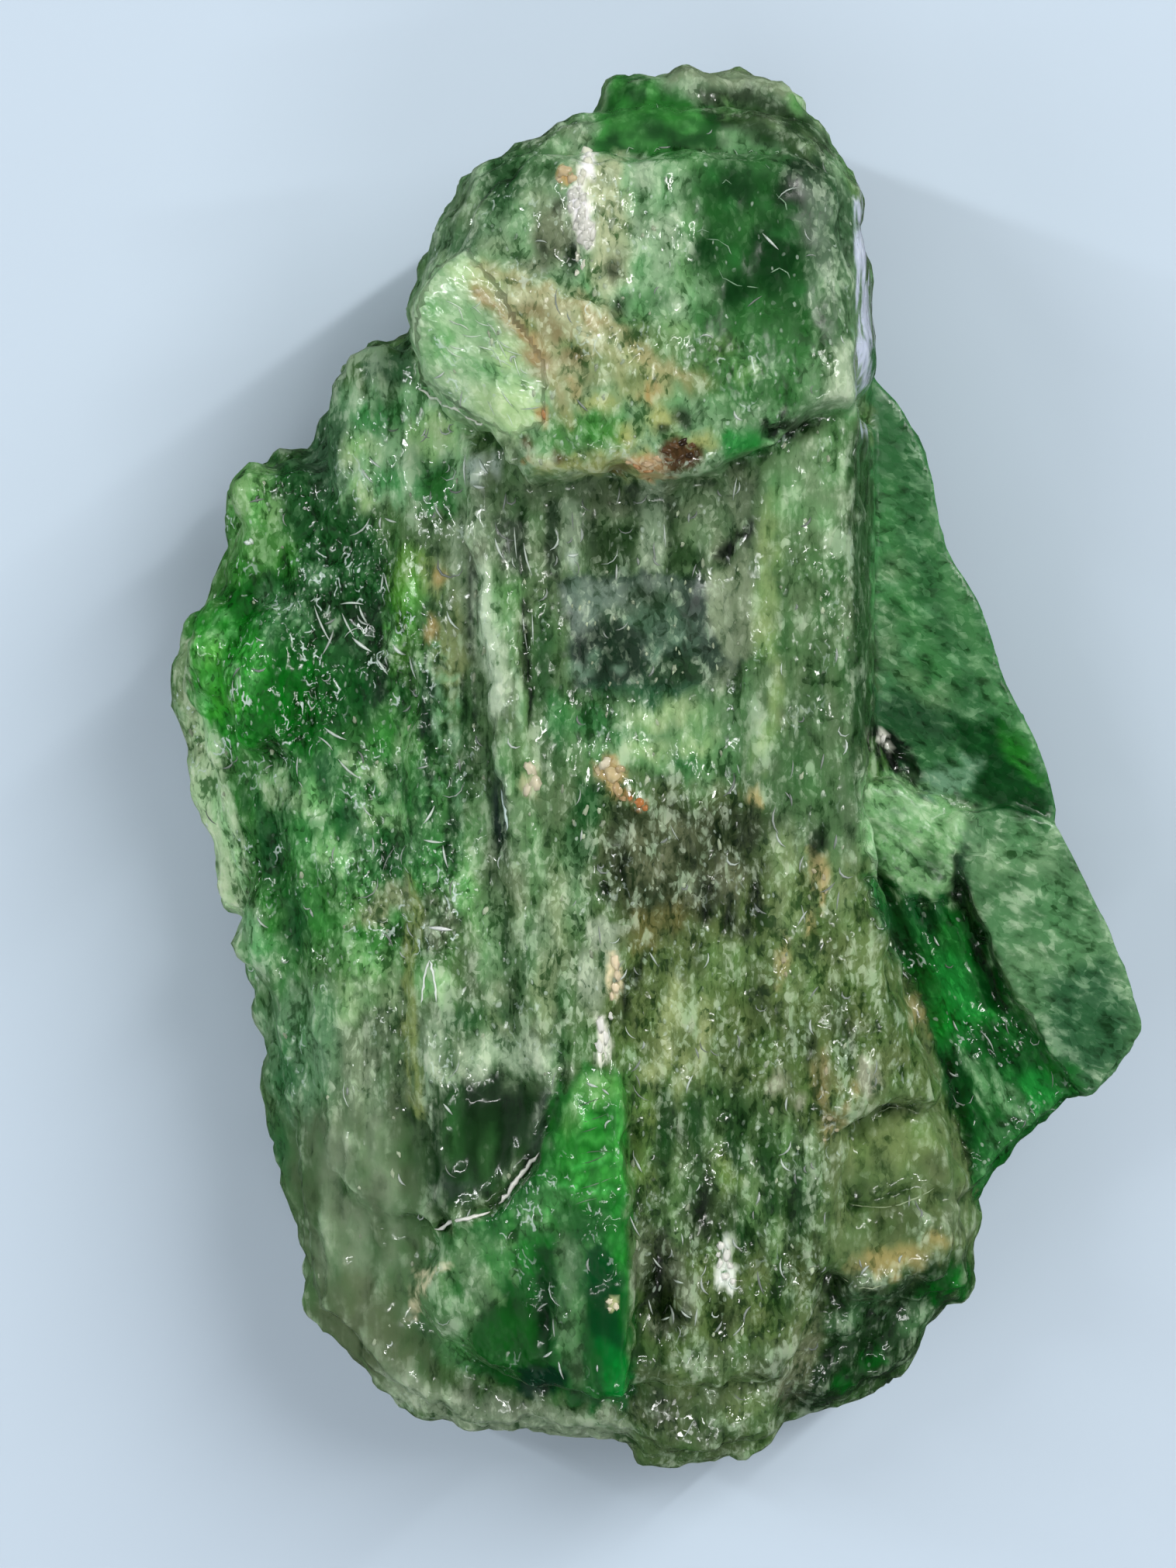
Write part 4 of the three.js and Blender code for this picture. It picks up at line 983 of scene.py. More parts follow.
paint((118, 134, 120), 0.7, 6, (778, 756, 30, 8, 0), (846, 752, 30, 6, 0), (750, 790, 6, 34, 0), (796, 778, 14, 7, 0))

# Right column.
paint((120, 152, 112), 0.75, 14, (1050, 600, 50, 34, 0), (1060, 660, 24, 30, 0), (1010, 640, 24, 30, 0))
paint((142, 164, 112), 0.7, 10, (990, 700, 12, 50, 0), (985, 800, 14, 60, 0), (1000, 900, 10, 50, 0), (980, 960, 12, 30, 0))
paint((58, 96, 56), 0.8, 9, (1012, 840, 8, 40, 0), (1030, 960, 9, 70, 0), (1084, 720, 8, 50, 0), (1000, 740, 7, 20, 0), (1050, 880, 9, 46, 0), (1094, 880, 10, 44, 0), (1064, 780, 7, 40, 0))
paint((92, 120, 84), 0.6, 10, (1076, 960, 14, 60, 0), (1046, 1040, 12, 50, 0), (1040, 740, 12, 50, 0))
paint((72, 92, 66), 0.85, 7, [(1094, 560), (1110, 540), (1116, 1000), (1104, 1080), (1096, 800)])
paint((50, 66, 50), 0.8, 5, (1110, 870, 8, 30, 0))

# Middle.
paint((62, 72, 50), 0.9, 24, [(790, 1040), (900, 1024), (1000, 1050), (980, 1120), (900, 1190), (800, 1200), (776, 1120)])
paint((112, 118, 92), 0.75, 12, (840, 1120, 30, 16, -20), (870, 1070, 26, 12, 10), (940, 1130, 22, 26, 0), (820, 1086, 14, 16, 0), (900, 1150, 12, 20, 0))
paint((50, 66, 42), 0.55, 8, (800, 1070, 10, 20, 0), (880, 1110, 12, 10, 0), (930, 1076, 14, 12, 0), (846, 1160, 12, 10, 0))
paint((116, 112, 70), 0.7, 12, (830, 1200, 26, 26, 0), (870, 1180, 20, 16, 0))
paint(BLACK, 0.85, 5, (780, 1148, 8, 12, 0), (806, 1120, 5, 20, 10), (822, 1250, 6, 30, 4), (806, 1290, 8, 30, 0))
paint((30, 46, 30), 0.9, 6, (909, 1165, 7, 30, 6), (940, 1180, 7, 26, 8), (972, 1157, 9, 26, 8), (1058, 1096, 8, 26, 0), (1060, 1130, 5, 18, 0), (958, 1200, 6, 18, 0))
paint((154, 166, 146), 0.8, 8, (790, 1240, 12, 34, 0), (762, 1262, 14, 40, 0), (776, 1200, 16, 16, 0))
paint(CREAM, 0.9, 4, [(788, 1236), (798, 1232), (802, 1262), (794, 1290), (786, 1280)])
paint(WHITE, 0.9, 4, [(768, 1312), (782, 1308), (784, 1350), (776, 1368), (766, 1350)])
paint((190, 176, 130), 0.75, 5, (1062, 1140, 7, 24, 0), (1010, 1244, 7, 30, 0), (1048, 1124, 6, 20, 0), (972, 1030, 8, 14, 0), (1040, 1190, 5, 12, 0))
paint((126, 148, 104), 0.7, 14, (1012, 1110, 24, 40, 0), (1090, 1160, 14, 40, -6), (1010, 1180, 20, 26, 0))
paint((112, 134, 88), 0.7, 16, (930, 1240, 30, 30, 0), (1040, 1260, 30, 40, -6), (1120, 1240, 20, 40, -16), (890, 1300, 20, 40, 0))
paint((60, 84, 46), 0.7, 12, (980, 1300, 14, 40, -4), (900, 1230, 10, 26, 0), (1080, 1300, 12, 30, -10), (1030, 1340, 16, 20, 0), (950, 1360, 18, 20, 0), (1150, 1300, 10, 30, -20))
paint((160, 170, 124), 0.75, 9, (856, 1340, 10, 46, 4), (904, 1340, 9, 40, 6), (836, 1390, 14, 22, 0), (880, 1400, 8, 26, 0), (870, 1290, 8, 20, 0))
paint((150, 140, 100), 0.75, 8, (1064, 1390, 12, 40, 0), (1070, 1450, 16, 22, 0), (1186, 1304, 14, 26, -16), (1100, 1410, 10, 14, 0))
paint((150, 152, 134), 0.8, 8, (1120, 1390, 16, 22, 0), (1000, 1400, 10, 18, 0), (1030, 1420, 8, 14, 0))
paint((40, 54, 36), 0.8, 8, (1044, 1352, 7, 30, 0), (1094, 1350, 8, 24, 0), (1108, 1440, 10, 10, 0))

# Lower left.
paint((110, 150, 112), 0.85, 26, [(330, 1290), (400, 1270), (440, 1340), (420, 1420), (380, 1440), (350, 1400)])
paint((54, 110, 66), 0.75, 14, (372, 1380, 16, 40, 0), (360, 1480, 16, 40, -6), (420, 1300, 14, 30, 0))
paint((130, 148, 120), 0.8, 18, (470, 1420, 24, 70, 0), (440, 1510, 24, 60, 0), (500, 1540, 20, 70, 0), (470, 1620, 26, 60, 0), (420, 1600, 14, 50, 0))
paint((74, 96, 64), 0.75, 10, (506, 1440, 9, 70, 0), (456, 1480, 8, 60, 0), (530, 1500, 10, 70, 0), (486, 1600, 9, 60, 0), (400, 1560, 10, 60, 0), (440, 1680, 12, 50, 0))
paint((98, 114, 84), 0.85, 20, (460, 1700, 60, 60, -20), (500, 1750, 40, 30, 20))
paint((146, 158, 100), 0.75, 7, [(526, 1130), (540, 1130), (536, 1300), (544, 1440), (532, 1440), (522, 1280)])
paint((26, 60, 28), 0.95, 20, [(556, 1400), (600, 1386), (690, 1396), (716, 1420), (690, 1490), (640, 1552), (566, 1566), (544, 1500)])
paint((64, 110, 62), 0.7, 12, (586, 1450, 10, 40, 0), (632, 1490, 9, 40, 0), (600, 1530, 12, 16, 0))
paint((24, 50, 26), 0.75, 10, (650, 1440, 12, 40, 0), (608, 1420, 9, 26, 0))
paint((66, 78, 70), 0.7, 8, [(696, 1410), (716, 1404), (712, 1450), (692, 1496), (684, 1490)], (586, 1536, 24, 14, 0))
paint((162, 180, 154), 0.85, 14, (650, 1356, 34, 22, 0), (612, 1372, 18, 22, 0), (700, 1366, 16, 14, 0), (560, 1350, 12, 30, 0))
paint((52, 96, 56), 0.75, 12, (600, 1310, 24, 18, 0), (650, 1300, 14, 12, 0))
paint((136, 152, 126), 0.92, 14, [(500, 1766), (640, 1806), (820, 1836), (810, 1872), (598, 1852), (500, 1804)])

# Wedge.
paint((34, 100, 46), 0.95, 8, WEDGE)
paint((54, 138, 56), 0.85, 18, [(736, 1400), (806, 1396), (812, 1540), (740, 1560), (700, 1520)])
paint((108, 158, 92), 0.8, 12, (772, 1402, 26, 20, 0), (740, 1440, 10, 16, 20))
paint((26, 100, 34), 0.8, 5, (778, 1430, 22, 4, -6), (772, 1456, 28, 4, -10), (768, 1482, 32, 5, -6), (762, 1508, 34, 4, -12), (756, 1534, 34, 5, -8), (748, 1560, 36, 5, -12))
paint((84, 164, 84), 0.5, 3, (770, 1443, 22, 3, -8), (764, 1470, 28, 3, -10), (776, 1494, 24, 3, -8), (752, 1548, 26, 3, -12))
paint((86, 138, 86), 0.7, 8, (676, 1600, 12, 18, 20), (716, 1650, 10, 22, 0), (640, 1640, 14, 12, 0), (760, 1620, 9, 22, 0), (700, 1740, 9, 20, 0), (672, 1700, 8, 14, 0), (796, 1660, 7, 14, 0))
paint((98, 132, 92), 0.9, 20, [(532, 1640), (580, 1600), (640, 1610), (640, 1700), (600, 1750), (548, 1730)])
paint((84, 140, 84), 0.75, 16, (650, 1612, 40, 26, -20), (600, 1740, 30, 26, 0), (700, 1560, 30, 24, -30))
paint((18, 78, 26), 0.9, 14, [(612, 1690), (660, 1660), (700, 1680), (700, 1780), (640, 1784), (606, 1740)])
paint((34, 122, 46), 0.8, 12, (690, 1620, 26, 30, 0), (796, 1600, 12, 60, 0))
paint((0, 84, 28), 0.97, 12, [(766, 1650), (812, 1660), (816, 1796), (772, 1800), (758, 1720)])
paint((10, 60, 26), 0.9, 8, (706, 1704, 12, 34, 0), (700, 1776, 26, 16, 10), (778, 1780, 8, 18, 0), (764, 1690, 7, 30, 0))
paint((100, 130, 92), 0.8, 9, (738, 1700, 10, 60, 0), (726, 1620, 9, 30, 0), (746, 1770, 10, 18, 0))
paint((96, 134, 94), 0.75, 5, [(722, 1600), (748, 1606), (752, 1690), (744, 1762), (726, 1764), (720, 1690)])
paint((10, 58, 24), 0.8, 7, [(688, 1612), (712, 1606), (718, 1680), (716, 1752), (698, 1758), (690, 1700)])
paint((26, 92, 34), 0.75, 7, [(614, 1706), (650, 1694), (688, 1700), (686, 1770), (640, 1782), (610, 1750)])
paint((10, 58, 38), 0.85, 5, [(666, 1768), (726, 1762), (724, 1796), (690, 1804), (668, 1792)])
paint((0, 72, 34), 0.85, 5, [(758, 1610), (774, 1606), (800, 1650), (798, 1700), (806, 1752), (776, 1760), (760, 1710)])
paint((0, 112, 46), 0.8, 8, [(768, 1730), (812, 1740), (812, 1760), (818, 1806), (780, 1810)])
paint((112, 150, 104), 0.7, 5, (600, 1600, 14, 16, 20), (580, 1640, 12, 20, 0), (624, 1648, 12, 12, 0), (604, 1684, 12, 10, 0), (650, 1600, 14, 8, -20), (700, 1566, 20, 5, -30), (668, 1640, 8, 12, 0), (640, 1672, 8, 10, 0))
paint((52, 116, 56), 0.7, 5, (630, 1620, 8, 8, 0), (660, 1624, 8, 7, 0), (596, 1660, 7, 8, 0), (668, 1576, 14, 7, -30), (726, 1580, 18, 6, -10), (780, 1580, 14, 7, 0))
paint((80, 170, 90), 0.7, 4, (744, 1500, 14, 3, -8), (776, 1500, 12, 3, 8), (728, 1532, 16, 3, -20), (770, 1536, 14, 3, 0), (712, 1560, 12, 3, -30))
paint((206, 208, 160), 0.8, 3, (788, 1682, 8, 7, 0))
streak((208, 202, 172), 0.85, 5, [(537, 1632), (556, 1640), (580, 1634)], [(556, 1640), (540, 1662), (530, 1694)])

# Lower middle.
paint((70, 98, 60), 0.85, 26, [(830, 1410), (960, 1390), (1060, 1470), (1060, 1600), (960, 1620), (830, 1600)])
paint((24, 70, 28), 0.85, 12, (860, 1470, 12, 50, 0), (900, 1450, 14, 40, 0), (944, 1460, 12, 40, 0), (990, 1520, 12, 60, -4), (1030, 1560, 12, 60, -4), (960, 1600, 12, 40, 0), (1010, 1660, 14, 40, 0))
paint((112, 144, 96), 0.75, 9, (880, 1510, 8, 30, 0), (926, 1500, 8, 30, -8), (966, 1540, 9, 40, 0), (1010, 1480, 10, 34, 0), (1046, 1500, 8, 30, 0), (870, 1580, 9, 30, 0), (1000, 1600, 8, 26, 0))
paint(LIME, 0.75, 8, (834, 1440, 9, 20, 0), (936, 1516, 10, 22, -10), (828, 1500, 8, 26, 0))
paint(BLACK, 0.9, 14, (846, 1650, 18, 50, 6), (906, 1560, 14, 40, 4), (870, 1700, 16, 20, 0), (930, 1690, 12, 26, 0))
paint((112, 120, 102), 0.75, 8, (884, 1660, 6, 20, 0), (870, 1640, 9, 26, 0), (826, 1620, 7, 40, 0), (890, 1690, 9, 20, 0), (850, 1716, 14, 10, 0))
paint((38, 54, 36), 0.7, 6, (1071, 1580, 5, 80, 2), (1052, 1640, 6, 50, 0), (1048, 1530, 6, 40, 0))
paint((226, 232, 224), 0.85, 6, (932, 1624, 8, 22, 8), (938, 1644, 10, 10, 0))
paint((88, 110, 72), 0.9, 20, [(820, 1740), (1000, 1730), (1030, 1800), (990, 1860), (894, 1890), (820, 1876)])
paint((116, 136, 88), 0.75, 14, (958, 1808, 28, 26, 0), (880, 1790, 20, 16, 0))
paint((66, 84, 56), 0.75, 10, (850, 1820, 16, 22, 0), (920, 1850, 26, 12, 0), (1000, 1760, 12, 30, 10), (900, 1750, 20, 9, 0))
paint((118, 120, 100), 0.7, 12, (1026, 1780, 20, 30, 20), (1040, 1730, 14, 30, 10))

# Lobes and skirt.
paint((104, 122, 82), 0.95, 14, LOBES)
paint((122, 144, 92), 0.75, 14, (1170, 1470, 40, 34, 0), (1110, 1480, 18, 26, 0))
paint((78, 96, 60), 0.75, 14, (1160, 1575, 44, 30, 0))
paint((80, 98, 62), 0.7, 12, (1200, 1500, 26, 14, 20), (1110, 1540, 20, 10, 0), (1200, 1590, 22, 16, 0))
paint((160, 148, 100), 0.8, 10, (1150, 1626, 52, 14, -6), (1210, 1600, 14, 10, 0))
paint((26, 58, 28), 0.92, 16, SKIRT)
paint((92, 134, 90), 0.65, 10, (1180, 1700, 26, 16, -40), (1090, 1706, 20, 16, 0), (1120, 1680, 24, 9, 0))
paint((8, 94, 28), 0.95, 7, (1125, 1753, 18, 14, 0), (1090, 1783, 12, 13, 0), (1232, 1650, 16, 22, 0), (1200, 1668, 14, 10, 0))
paint((100, 118, 88), 0.7, 10, (1110, 1656, 30, 12, 0), (1230, 1560, 14, 30, 0))

# Cap: the worn top.
paint((120, 152, 116), 0.95, 10, CAP)
paint((42, 104, 44), 0.95, 10, [(762, 196), (770, 142), (792, 92), (822, 96), (850, 108), (890, 130), (930, 160), (926, 196), (850, 204)])
paint((18, 66, 26), 0.8, 10, (790, 178, 22, 12, 0), (890, 184, 40, 9, 0), (812, 120, 14, 16, 0), (850, 168, 24, 10, 0), (920, 150, 14, 20, 0))
paint((64, 128, 60), 0.6, 8, (830, 140, 12, 12, 0), (870, 150, 16, 9, 0), (796, 110, 8, 12, 0), (800, 156, 14, 7, 0))
paint((118, 128, 104), 0.7, 7, [(850, 84), (980, 82), (1050, 126), (1052, 142), (1000, 122), (900, 106), (856, 102)])
paint((40, 60, 34), 0.92, 12, [(880, 112), (980, 112), (1040, 146), (1080, 200), (1040, 206), (990, 190), (930, 160)])
paint((60, 90, 52), 0.75, 10, (960, 150, 20, 16, 0), (1020, 180, 20, 14, 20))
paint((104, 128, 92), 0.75, 7, (704, 180, 12, 8, -20), (730, 168, 12, 8, -20), (668, 196, 12, 9, -30), (752, 180, 10, 7, 0), (1000, 160, 10, 7, 30), (1046, 190, 9, 12, 0), (724, 196, 16, 6, 0))
paint((36, 70, 34), 0.75, 7, (690, 190, 12, 6, 0), (716, 160, 12, 6, -20), (746, 160, 10, 7, 0), (980, 178, 18, 6, 0), (1032, 160, 8, 10, 30))
paint((74, 140, 72), 0.7, 6, (814, 176, 16, 6, 0), (850, 186, 14, 5, 0), (884, 172, 10, 6, 20), (800, 132, 9, 8, 0), (840, 118, 10, 7, 20), (900, 150, 10, 8, 0), (776, 164, 7, 12, 0))
paint((108, 148, 96), 0.8, 7, (1032, 130, 16, 14, 0), (936, 138, 14, 8, 0))
paint((96, 126, 94), 0.9, 14, [(545, 346), (569, 279), (605, 216), (640, 206), (630, 300), (600, 335)])
paint((48, 86, 50), 0.95, 10, [(622, 262), (634, 196), (680, 184), (676, 240), (644, 292)])
paint((64, 96, 60), 0.8, 10, (700, 220, 18, 26, 0), (690, 176, 34, 8, -20))
paint((120, 142, 108), 0.75, 12, (640, 320, 22, 16, 0), (690, 260, 16, 20, 0), (600, 270, 18, 30, 20))
paint((172, 176, 144), 0.8, 14, [(744, 214), (800, 200), (812, 250), (800, 360), (776, 400), (758, 340), (766, 280)])
paint((126, 140, 112), 0.75, 6, (784, 230, 9, 12, 0), (774, 276, 7, 14, 0), (796, 320, 8, 12, 0), (778, 352, 9, 10, 0), (804, 262, 8, 16, 0))
paint((116, 122, 100), 0.85, 14, (716, 300, 28, 36, 0), (690, 340, 24, 14, 0))
paint((44, 54, 40), 0.85, 8, (738, 330, 10, 24, 0), (706, 320, 10, 18, 0), (798, 400, 12, 16, 0), (790, 350, 7, 16, 0), (720, 270, 8, 10, 0))
paint((140, 164, 134), 0.75, 9, (826, 230, 14, 24, 0), (860, 290, 16, 16, 0), (880, 240, 22, 20, -20), (846, 340, 12, 22, 10), (820, 300, 8, 22, 0))
paint((78, 118, 76), 0.55, 10, (836, 270, 9, 26, 0), (860, 226, 9, 14, 0), (840, 390, 12, 18, 0))
paint((118, 164, 110), 0.8, 12, (904, 282, 26, 22, -20), (884, 350, 14, 24, 0), (900, 210, 16, 10, 0))
paint((148, 174, 142), 0.75, 7, (846, 250, 10, 16, -20), (872, 276, 12, 9, 0), (840, 320, 9, 14, 0), (866, 330, 9, 7, 20), (830, 366, 12, 9, 0), (880, 386, 13, 9, 10), (892, 232, 9, 7, 0), (810, 222, 7, 10, 0))
paint((72, 112, 74), 0.7, 7, (858, 256, 7, 10, 0), (826, 340, 7, 10, 0), (876, 304, 7, 8, 0), (850, 386, 10, 7, 0), (826, 252, 6, 8, 0), (884, 260, 6, 7, 0))
paint((26, 82, 32), 0.92, 22, CAP_DEEP)
paint((12, 58, 22), 0.85, 16, (950, 244, 30, 24, 0), (1000, 330, 36, 46, 0), (950, 372, 20, 20, 0), (912, 320, 12, 16, 0), (1030, 250, 20, 16, 0))
paint((56, 116, 62), 0.6, 7, (936, 268, 10, 7, 20), (1010, 300, 12, 8, -20), (948, 330, 8, 12, 0), (990, 262, 9, 7, 0), (1030, 372, 12, 8, 10), (970, 396, 10, 8, 0), (916, 224, 10, 7, 0), (1012, 226, 14, 7, 0))
paint((64, 118, 64), 0.6, 10, (990, 212, 20, 8, 10), (960, 290, 14, 10, 0), (1036, 300, 10, 14, 0), (930, 350, 10, 8, 20), (986, 400, 16, 9, -20), (1020, 440, 18, 9, 0), (900, 250, 9, 14, 0))
paint((34, 54, 36), 0.85, 14, (1034, 232, 34, 32, 10), (1050, 290, 16, 30, 0))
paint((84, 116, 80), 0.85, 14, [(1062, 300), (1100, 280), (1112, 520), (1060, 530), (1050, 430)])
paint((160, 176, 150), 0.8, 8, [(1070, 450), (1100, 440), (1102, 524), (1068, 520)])
paint((46, 104, 46), 0.85, 22, [(900, 400), (1040, 410), (1044, 530), (940, 540), (880, 480)])
paint((92, 120, 70), 0.75, 14, (850, 440, 46, 22, 18), (900, 490, 26, 18, 20), (930, 450, 20, 16, 0))
paint((118, 158, 92), 0.45, 9, (960, 480, 18, 10, 0), (880, 420, 20, 9, 20))
paint((80, 132, 68), 0.85, 16, [(720, 530), (800, 530), (804, 580), (730, 590), (696, 570)])
paint((160, 164, 108), 0.85, 10, [(690, 590), (830, 580), (830, 614), (690, 610)], (800, 560, 20, 14, 0), (850, 540, 22, 16, 0), (900, 570, 22, 12, 0), (770, 520, 20, 10, 0))
paint((150, 156, 112), 0.8, 14, [(750, 440), (820, 440), (880, 490), (850, 530), (790, 510)])
paint((92, 110, 66), 0.75, 8, (812, 490, 14, 12, 0), (760, 490, 10, 12, 0), (866, 560, 9, 12, 0))
paint((146, 176, 136), 0.95, 8, MINT_FACET)
paint((172, 196, 146), 0.75, 14, [(610, 500), (690, 500), (700, 545), (664, 562), (616, 535)], [(570, 335), (640, 345), (650, 376), (590, 366)], (650, 460, 24, 20, 30))
paint((108, 160, 104), 0.75, 12, (572, 450, 18, 26, 0), (604, 416, 24, 12, 30), (620, 480, 22, 12, 30), (560, 400, 14, 16, 0))
paint((160, 160, 126), 0.85, 30, [(640, 380), (700, 372), (770, 415), (790, 470), (740, 506), (700, 484), (668, 430)])
paint((112, 136, 90), 0.75, 9, (738, 446, 16, 12, 20), (706, 494, 10, 14, 0), (770, 470, 12, 10, 0), (690, 424, 8, 12, -20), (752, 404, 14, 8, 20))
paint((182, 184, 154), 0.7, 8, (672, 384, 20, 8, 12), (720, 398, 22, 8, 24), (762, 430, 16, 9, 20), (716, 470, 12, 10, 0))
paint((122, 112, 80), 0.8, 9, (716, 424, 16, 12, 20), (700, 466, 12, 14, 0), (740, 460, 14, 12, 0), (690, 400, 16, 8, 20))
streak((160, 136, 92), 0.6, 13, [(618, 372), (650, 402), (676, 430), (694, 458)])
streak((134, 104, 64), 0.6, 6, [(640, 396), (664, 420), (684, 446), (690, 462)])
streak((166, 152, 116), 0.55, 11, [(694, 458), (716, 500), (730, 540)], [(760, 400), (800, 430), (850, 470), (892, 490)], [(620, 344), (680, 368), (740, 390), (770, 410)])
paint((176, 132, 80), 0.65, 5, (701, 536, 6, 12, 0), (679, 588, 6, 6, 0), (830, 512, 6, 10, 0))
paint((166, 144, 104), 0.6, 7, (625, 380, 12, 7, 30), (690, 442, 8, 8, 0), (846, 500, 8, 12, -30), (740, 500, 8, 10, 0))
paint((82, 58, 32), 0.85, 6, (680, 572, 10, 9, 0), (798, 606, 16, 6, 0), (720, 588, 8, 7, 0))
paint((186, 152, 112), 0.9, 6, [(812, 592), (850, 584), (870, 614), (830, 618)])
paint(UMBER, 0.95, 6, [(846, 580), (880, 564), (904, 574), (900, 604), (862, 612)])
paint((36, 42, 32), 0.85, 7, (884, 538, 14, 12, 0), (856, 556, 8, 6, 0))
paint((30, 124, 52), 0.9, 10, [(930, 562), (966, 548), (988, 564), (980, 588), (940, 594)])
# painted shade: near-black in the gap between the cap and the column
paint(BLACK, 0.95, 5, [(978, 548), (1016, 538), (1046, 542), (1040, 552), (1000, 566), (984, 572)])
streak(BLACK, 0.85, 4, [(1016, 500), (1010, 530), (1000, 548)])
paint(WHITE, 0.97, 3, [(752, 198), (766, 197), (768, 226), (754, 232)], [(738, 242), (752, 236), (760, 262), (762, 316), (752, 312), (744, 280)])
paint((196, 164, 112), 0.9, 4, (731, 224, 12, 12, 0))
paint((58, 90, 60), 0.8, 9, [(1040, 226), (1096, 236), (1100, 330), (1060, 350), (1040, 300)])
paint((84, 114, 84), 0.7, 5, (1060, 290, 5, 40, 0), (1084, 330, 5, 50, 0), (1044, 360, 5, 34, 0))
paint((40, 78, 44), 0.75, 5, (1074, 262, 5, 34, 0), (1052, 330, 4, 30, 0), (1096, 300, 4, 40, 0))
paint((56, 88, 56), 0.6, 8, (1074, 400, 16, 54, 0))
paint((50, 118, 42), 0.5, 9, (760, 555, 28, 16, 0))
paint((62, 116, 48), 0.45, 8, (526, 830, 18, 30, 0))
# painted shade: darker still in the slab's gap
paint((8, 38, 22), 0.8, 4, (1158, 984, 18, 13, 0))
# The milky vein at the head of the cap.
vu, vv = u0 + 2.5 * wander(g, (0.3, 0.5, 0.3), 82), v0 + 3 * wander(g, (0.3, 0.5, 0.3), 83)
vein = np.maximum(mask(vu, vv, [(733, 245), (755, 243), (757, 282), (768, 288), (765, 308), (757, 322), (748, 312), (739, 292)], 3), mask(vu, vv, (757, 210, 8, 13, -8), 3))
vein = np.maximum(vein, 0.75 * mask(vu, vv, [(744, 222), (758, 220), (756, 246), (740, 246)], 4)) * smooth(n[:, 2], 0.2, 0.5)
tint[:] = tint * (1 - 0.95 * vein[:, None]) + lin((234, 236, 222)) * 0.95 * vein[:, None]
# Painted reflection: a lavender-white band along the top of the cap's side, where the steep side facet mirrors the
# light.
painted_reflection = mask(u, v, [(1101, 250), (1108, 250), (1116, 320), (1126, 420), (1134, 520), (1124, 560), (1114, 590), (1110, 520), (1106, 400)], 3)
painted_reflection *= smooth(p[:, 2] + 1.2 * wander(p, (1.4, 2.4, 1.0), 73), 10.5, 14.0) * smooth(n[:, 2], -0.2, 0.05)
tint[:] = tint * (1 - 0.85 * painted_reflection[:, None]) + lin(REFLECTED_LAVENDER) * 0.85 * painted_reflection[:, None]

# Slab.
paint((62, 114, 72), 0.95, 4, SLAB_UPPER)
paint((80, 138, 84), 0.7, 20, (1160, 780, 34, 60, -20), (1140, 680, 20, 50, 0), (1200, 860, 34, 40, -30))
paint((118, 150, 112), 0.6, 12, (1136, 830, 18, 30, 0), (1170, 870, 20, 16, 0), (1150, 740, 12, 22, 0), (1210, 900, 18, 14, 0))
paint((96, 148, 104), 0.6, 5, (1150, 660, 14, 7, 20), (1184, 700, 16, 7, 20), (1150, 760, 14, 8, 10), (1200, 790, 18, 7, 25), (1164, 840, 16, 8, 20), (1230, 850, 16, 7, 30), (1140, 880, 12, 7, 0), (1216, 740, 12, 6, 30), (1130, 700, 10, 8, 0))
paint((40, 92, 50), 0.6, 5, (1166, 680, 14, 6, 20), (1140, 730, 12, 7, 10), (1196, 760, 16, 6, 25), (1150, 800, 14, 7, 10), (1214, 820, 16, 6, 30), (1190, 860, 14, 6, 20), (1130, 840, 10, 8, 0), (1240, 880, 12, 6, 30))
paint((82, 134, 86), 0.85, 14, [(1190, 600), (1214, 700), (1252, 768), (1284, 868), (1337, 974), (1300, 940), (1256, 860), (1220, 790), (1196, 700)])
paint((40, 84, 52), 0.8, 16, [(1116, 880), (1170, 890), (1230, 930), (1220, 970), (1160, 950), (1120, 930)])
# painted shade: near-black in the gaps of the slab
paint((2, 16, 8), 0.95, 5, [(1120, 926), (1136, 940), (1150, 936), (1160, 958), (1176, 962), (1180, 984), (1194, 998), (1190, 1016), (1176, 1034), (1160, 1012), (1146, 1010), (1140, 980), (1126, 960)], [(1186, 1030), (1214, 1040), (1240, 1034), (1262, 1040), (1268, 1054), (1230, 1052), (1196, 1056)])
paint((54, 98, 62), 0.7, 4, (1168, 986, 6, 14, -30), (1150, 1000, 8, 5, 20), (1204, 1036, 12, 4, 0))
paint((8, 72, 28), 0.95, 8, [(1226, 920), (1290, 930), (1340, 990), (1358, 1058), (1290, 1046), (1262, 1030), (1246, 990)])
paint((40, 120, 40), 0.85, 10, [(1286, 940), (1320, 950), (1346, 1010), (1330, 1020), (1300, 980)])
paint((118, 156, 128), 0.9, 9, (1220, 1010, 30, 22, 0), (1250, 990, 12, 10, 0))
paint(WHITE, 0.9, 3, (1140, 956, 5, 9, -20))
paint((128, 172, 122), 0.92, 12, SLAB_LUMP)
paint((60, 112, 66), 0.7, 10, (1150, 1060, 14, 10, 30), (1190, 1110, 14, 12, 0), (1130, 1110, 9, 16, 0))
paint((92, 132, 94), 0.95, 4, SLAB_LOWER)
paint((88, 136, 92), 0.7, 22, (1300, 1090, 40, 26, 20), (1360, 1180, 26, 40, -20), (1280, 1200, 20, 30, -20))
paint((134, 166, 128), 0.6, 16, (1330, 1240, 24, 20, 0), (1280, 1110, 18, 22, 0), (1340, 1110, 20, 14, 0))
paint((46, 92, 60), 0.85, 20, [(1350, 1270), (1420, 1230), (1466, 1310), (1440, 1370), (1400, 1405), (1350, 1350)])
